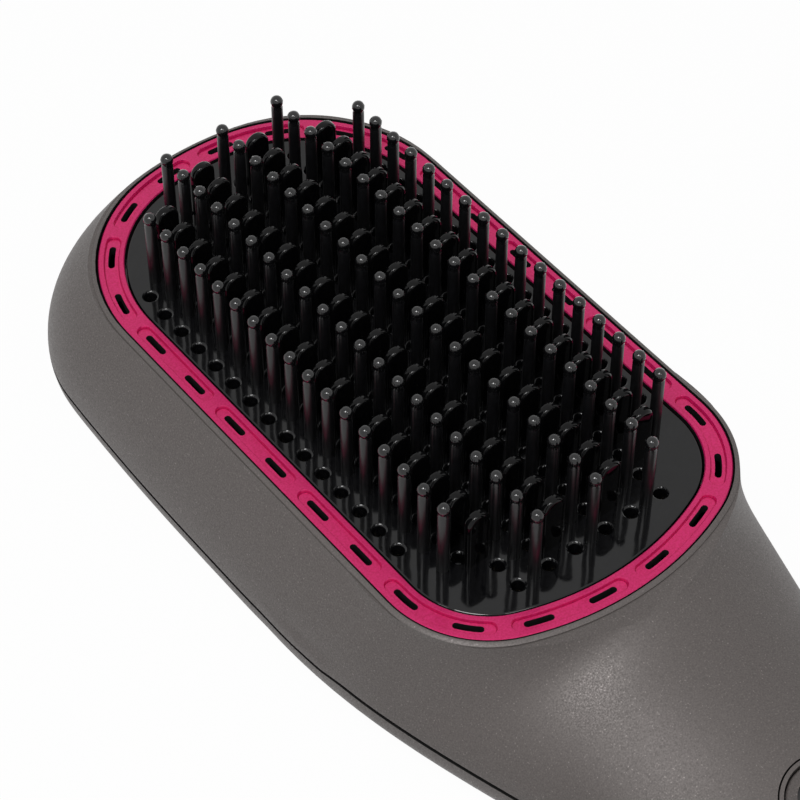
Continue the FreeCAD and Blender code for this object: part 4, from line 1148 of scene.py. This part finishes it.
edges = [
    e for e in bm.edges
    if abs(e.verts[0].co.y - e.verts[1].co.y) < WELD and max(v.co.z for v in e.verts) > PLATE_TOP
]
bmesh.ops.bevel(bm, geom=edges, offset=TOOTH_EDGE, offset_type="OFFSET", segments=4, profile=0.5,
                affect="EDGES", material=-1)
print("one tooth has", len(bm.faces), "faces")
tooth_ceramic = grained("gloss_black_tooth_ceramic", "#040405", "#0a0a0b", 0.6, 0.04, ior=1.27)
places = [(x, y + TOOTH_SHIFT) for x, y in tooth_places]
teeth = mesh_object("hot_teeth", copies(bm, places), tooth_ceramic)
settle(teeth, "heating_teeth")

# %% [markdown]
# The controls sit in the neck. A button is a turned cap with a flange that keeps it in the housing and a
# slightly dished top for the finger. The largest one has the usual sign for power: an open ring, spun
# from a small square, and a bar. It could be an image, but a sign that is cut into the mesh stays sharp.
# The engraving is a boolean, and its faces are lined with a matt black filler, so that it reads as a dark
# line. The caps have the housing's lacquer, a shade darker and glossier.

# %% Power button
FLANGE_LOW = 19.5
FLANGE_TOP = 20.2
CAP_SIDES = 48
POWER_TOP = 24.0
MARK_HEIGHT = 0.8
SIGN_INNER, SIGN_OUTER = 4.35, 5.2
SIGN_START, SIGN_SWEEP = math.radians(118), math.radians(304)
SIGN_BAR = 3.6
cap_paint = flake_lacquer("flake_lacquer_on_caps", "#4b4644", "#5d5755", "#8a8380", 0.45)
mark_dark = grained("black_filled_engraving", "#0b0a0a", "#141313", 0.4, 0.6)


def cap(name, y, radius, flange, top, dish):
    """A cap with a flange, a rounded edge and a top that is dished by a little."""
    profile = [(0, FLANGE_LOW), (flange, FLANGE_LOW), (flange, FLANGE_TOP), (radius, FLANGE_TOP),
               (radius, top - 0.5), (radius - 0.08, top - 0.25), (radius - 0.25, top - 0.08),
               (radius - 0.5, top), (radius * 0.6, top - dish * 0.6), (0, top - dish)]
    return mesh_object(name, copies(turned(profile, CAP_SIDES), [(0, y)]), cap_paint)


power = cap("power_cap", POWER_Y, radius=6.8, flange=7.7, top=POWER_TOP, dish=0.3)
low, high = POWER_TOP - MARK_HEIGHT / 2, POWER_TOP + MARK_HEIGHT / 2
square = ((SIGN_INNER, low), (SIGN_OUTER, low), (SIGN_OUTER, high), (SIGN_INNER, high))
arc = bmesh.new()
bmesh.ops.contextual_create(arc, geom=[arc.verts.new((radius, 0, z)) for radius, z in square])
bmesh.ops.rotate(arc, cent=(0, 0, 0), matrix=Matrix.Rotation(SIGN_START, 3, "Z"), verts=arc.verts)
bmesh.ops.spin(arc, geom=arc.verts[:] + arc.edges[:] + arc.faces[:], cent=(0, 0, 0), axis=UP,
               angle=SIGN_SWEEP, steps=32)
bmesh.ops.holes_fill(arc, edges=arc.edges, sides=4)
bmesh.ops.translate(arc, vec=(0, POWER_Y, 0), verts=arc.verts)
carve(power, arc, mark_dark)
stroke = bar(0, POWER_Y + SIGN_BAR, POWER_TOP, SIGN_OUTER - SIGN_INNER, SIGN_BAR, MARK_HEIGHT)
carve(power, stroke, mark_dark)
settle(power, "power_button", "power_button")

# %% [markdown]
# Two smaller keys set the heat. They have the same form and finish, so the same function turns them.
# Their marks are blocks that are taken away: one across, and for the plus another along the handle.

# %% Plus and minus keys
KEY_TOP = 24.1
MARK_LONG, MARK_WIDE = 2.6, 0.5
for name, y in (("temp_up", KEY_UP_Y), ("temp_down", KEY_DOWN_Y)):
    key = cap(name + "_cap", y, radius=3.95, flange=5.0, top=KEY_TOP, dish=0.25)
    carve(key, bar(0, y, KEY_TOP, MARK_LONG, MARK_WIDE, MARK_HEIGHT), mark_dark)
    if name == "temp_up":
        carve(key, bar(0, y, KEY_TOP, MARK_WIDE, MARK_LONG, MARK_HEIGHT), mark_dark)
    settle(key, name + "_button", name + "_button")

# %% [markdown]
# A thin bezel frames the power button, and a light guide shows the heat step. Both are flush with the
# neck. Each is a straight shape that stands too tall, and the boolean keeps only what it shares with the
# housing's solid form, so its top takes the neck's own curve. The bezel has the housing's paint. The
# guide is frosted polycarbonate: pale, satin, and part of the light goes through it.

# %% Bezel and light guide
BEZEL_OUTER = 7.6
BEZEL_LOW = 22.35
GUIDE_LOW = 16.8
TOO_TALL = 27


def housing_form():
    bm = bmesh.new()
    bm.from_mesh(solid_form)
    bmesh.ops.scale(bm, vec=Vector((1, 1, 1)) / MM, verts=bm.verts)
    return bm


tube = [(POWER_BORE, BEZEL_LOW), (BEZEL_OUTER, BEZEL_LOW), (BEZEL_OUTER, TOO_TALL),
        (POWER_BORE, TOO_TALL), (POWER_BORE, BEZEL_LOW)]
bezel = mesh_object("power_bezel", copies(turned(tube, FINE_ROUND), [(0, POWER_Y)]), housing_paint)
carve(bezel, housing_form(), operation="INTERSECT")
settle(bezel, "button_bezel")

light_guide = grained("frosted_polycarbonate", "#c9c8c0", "#dedcd4", 0.5, 0.3, ior=1.58)
light_guide.node_tree.nodes["Principled BSDF"].inputs["Transmission Weight"].default_value = 0.35
shape = stadium(GUIDE_Y, GUIDE_LENGTH, GUIDE_WIDTH, GUIDE_LOW, TOO_TALL)
guide = mesh_object("heat_light_guide", shape, light_guide)
carve(guide, housing_form(), operation="INTERSECT")
settle(guide, "indicator_lens")

# %% [markdown]
# At the handle's end the cord gland turns, so that the cord doesn't twist. It is a lathe shape in moulded
# nylon, which is a satin black: a flange behind the end wall, a neck through it, and a tapered barrel
# with three grip grooves. It is turned upright, like the pins, and then laid along the handle.

# %% Cord gland
CORD_HOLE = 3.1
GLAND_FLANGE = 5.7
GLAND_NECK = 4.45
GLAND_START, WALL_INSIDE, WALL_OUTSIDE = 211.5, 213.85, 220.4
BARREL_WIDE, BARREL_SLIM, BARREL_LENGTH = 5.6, 4.5, 9.9
GROOVES = (222.4, 224.4, 226.4)


def barrel_radius(along):
    return between(BARREL_WIDE, BARREL_SLIM, (along - WALL_OUTSIDE) / BARREL_LENGTH)


profile = [(CORD_HOLE, GLAND_START), (GLAND_FLANGE, GLAND_START), (GLAND_FLANGE, WALL_INSIDE),
           (GLAND_NECK, WALL_INSIDE), (GLAND_NECK, WALL_OUTSIDE), (5.25, WALL_OUTSIDE), (5.5, 220.65)]
for start in GROOVES:
    wide, end = barrel_radius(start), start + 1.0
    profile += [(wide, start), (wide - 0.45, start + 0.2), (wide - 0.5, start + 0.8),
                (barrel_radius(end), end)]
profile += [(4.55, 229.7), (4.3, 230.2), (4.0, 230.3), (3.3, 230.3), (CORD_HOLE, 230.1),
            (CORD_HOLE, GLAND_START)]
gland_nylon = grained("moulded_black_nylon", "#101011", "#19191a", 0.4, 0.42)
shape = turned(profile, ROUND)
bmesh.ops.rotate(shape, cent=(0, 0, 0), matrix=Matrix.Rotation(math.pi / 2, 3, "X"), verts=shape.verts)
bmesh.ops.translate(shape, vec=(0, 0, SEAM), verts=shape.verts)
gland = mesh_object("cord_gland", shape, gland_nylon)
settle(gland, "cord_swivel", "cord_swivel")

# %% [markdown]
# Five screws hold the two halves together from the back. One pan head with a cross recess is turned and
# cut, and then copied to its places. Zinc plate is a bright grey metal with a fine bloom. The heads sit
# deep in the counterbores, so only a glint shows.

# %% Housing screws
SCREW_HEAD = [(0, 3.4), (1.5, 3.42), (2.05, 3.65), (2.28, 4.1), (2.28, 5.0)]
SCREW_SHANK = [(1.25, 5.0), (1.25, 16.4), (0, 16.9)]
CROSS_Z, CROSS_LONG, CROSS_WIDE, CROSS_DEEP = 3.6, 2.4, 0.55, 1.4
plated = grained("zinc_plated_steel", "#8e9094", "#a3a5a8", 0.25, 0.3, metallic=1.0)
screw = mesh_object("screw", turned(SCREW_HEAD + SCREW_SHANK, SCREW_SIDES), plated)
carve(screw, bar(0, 0, CROSS_Z, CROSS_LONG, CROSS_WIDE, CROSS_DEEP))
carve(screw, bar(0, 0, CROSS_Z, CROSS_WIDE, CROSS_LONG, CROSS_DEEP))
screws = mesh_object("housing_screw_set", copies(take_bmesh(screw), SCREW_PLACES), plated)
settle(screws, "housing_screws")

# %% [markdown]
# What is left is inside: the heater under the plate, its tray and seal, the board and the wiring. The CAD
# shapes are right for these, so they keep them and only get a finish. A table gives each of the record's
# material slots its finish: two tones, a grain in millimetres, the roughness and how metallic it is. Soft
# rubber and woven pieces are rough and dull, resin and glass shine, and bare metal mirrors softly.

# %% Inner finishes
INNER = {
    "gasket_silicone": ("soft_silicone", "#b2b1ac", "#c6c5c0", 1.0, 0.55, 0),
    "tray_resin": ("glass_filled_resin", "#211d1a", "#2f2a25", 0.4, 0.5, 0),
    "heater_metal": ("extruded_aluminium", "#b0b1b4", "#c4c5c7", 0.3, 0.35, 1),
    "clamp_steel": ("rolled_spring_steel", "#8f9093", "#a4a5a7", 0.5, 0.35, 1),
    "sheet_mica": ("pressed_mica", "#a3957b", "#c0b399", 0.8, 0.6, 0),
    "sensor_glass": ("amber_glass", "#743812", "#96521f", 0.5, 0.12, 0),
    "fuse_sleeve": ("glass_fibre_sleeve", "#d2d0c6", "#e4e2d9", 0.3, 0.7, 0),
    "board_green": ("solder_mask_on_laminate", "#0c3b1b", "#15552b", 0.6, 0.35, 0),
    "switch_black": ("moulded_switch_case", "#0d0d0d", "#171717", 0.4, 0.45, 0),
    "led_white": ("cast_lamp_resin", "#e2dfc9", "#efecd8", 0.3, 0.2, 0),
    "capacitor_yellow": ("boxed_film_capacitor", "#b8901c", "#cda62c", 0.5, 0.3, 0),
    "triac_black": ("moulded_epoxy", "#101010", "#1b1b1b", 0.4, 0.5, 0),
    "screw_steel": ("plated_small_screw", "#8a8c90", "#a0a2a5", 0.25, 0.32, 1),
    "heater_lead": ("white_silicone_insulation", "#c6c2b8", "#d8d4ca", 0.5, 0.5, 0),
    "sensor_lead": ("red_insulation", "#7c120d", "#97201a", 0.5, 0.45, 0),
    "mains_lead": ("brown_insulation", "#3a2012", "#4d2d1b", 0.5, 0.45, 0),
}
finishes = {slot: grained(*row) for slot, row in INNER.items()}
dressed = 0
for row in frame["record"]["subparts"]:
    node = frame["nodes"][row["node"]]
    if row["material_slot"] in finishes and not node.hide_render:
        node.data.materials.clear()
        node.data.materials.append(finishes[row["material_slot"]])
        dressed += 1
print("inner CAD nodes with a finish:", dressed)

# %% [markdown]
# Before the end, the box round the dressed brush is measured. The dressed brush may not outgrow its CAD
# frame.

# %% Size of the dressed brush
low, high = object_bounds()
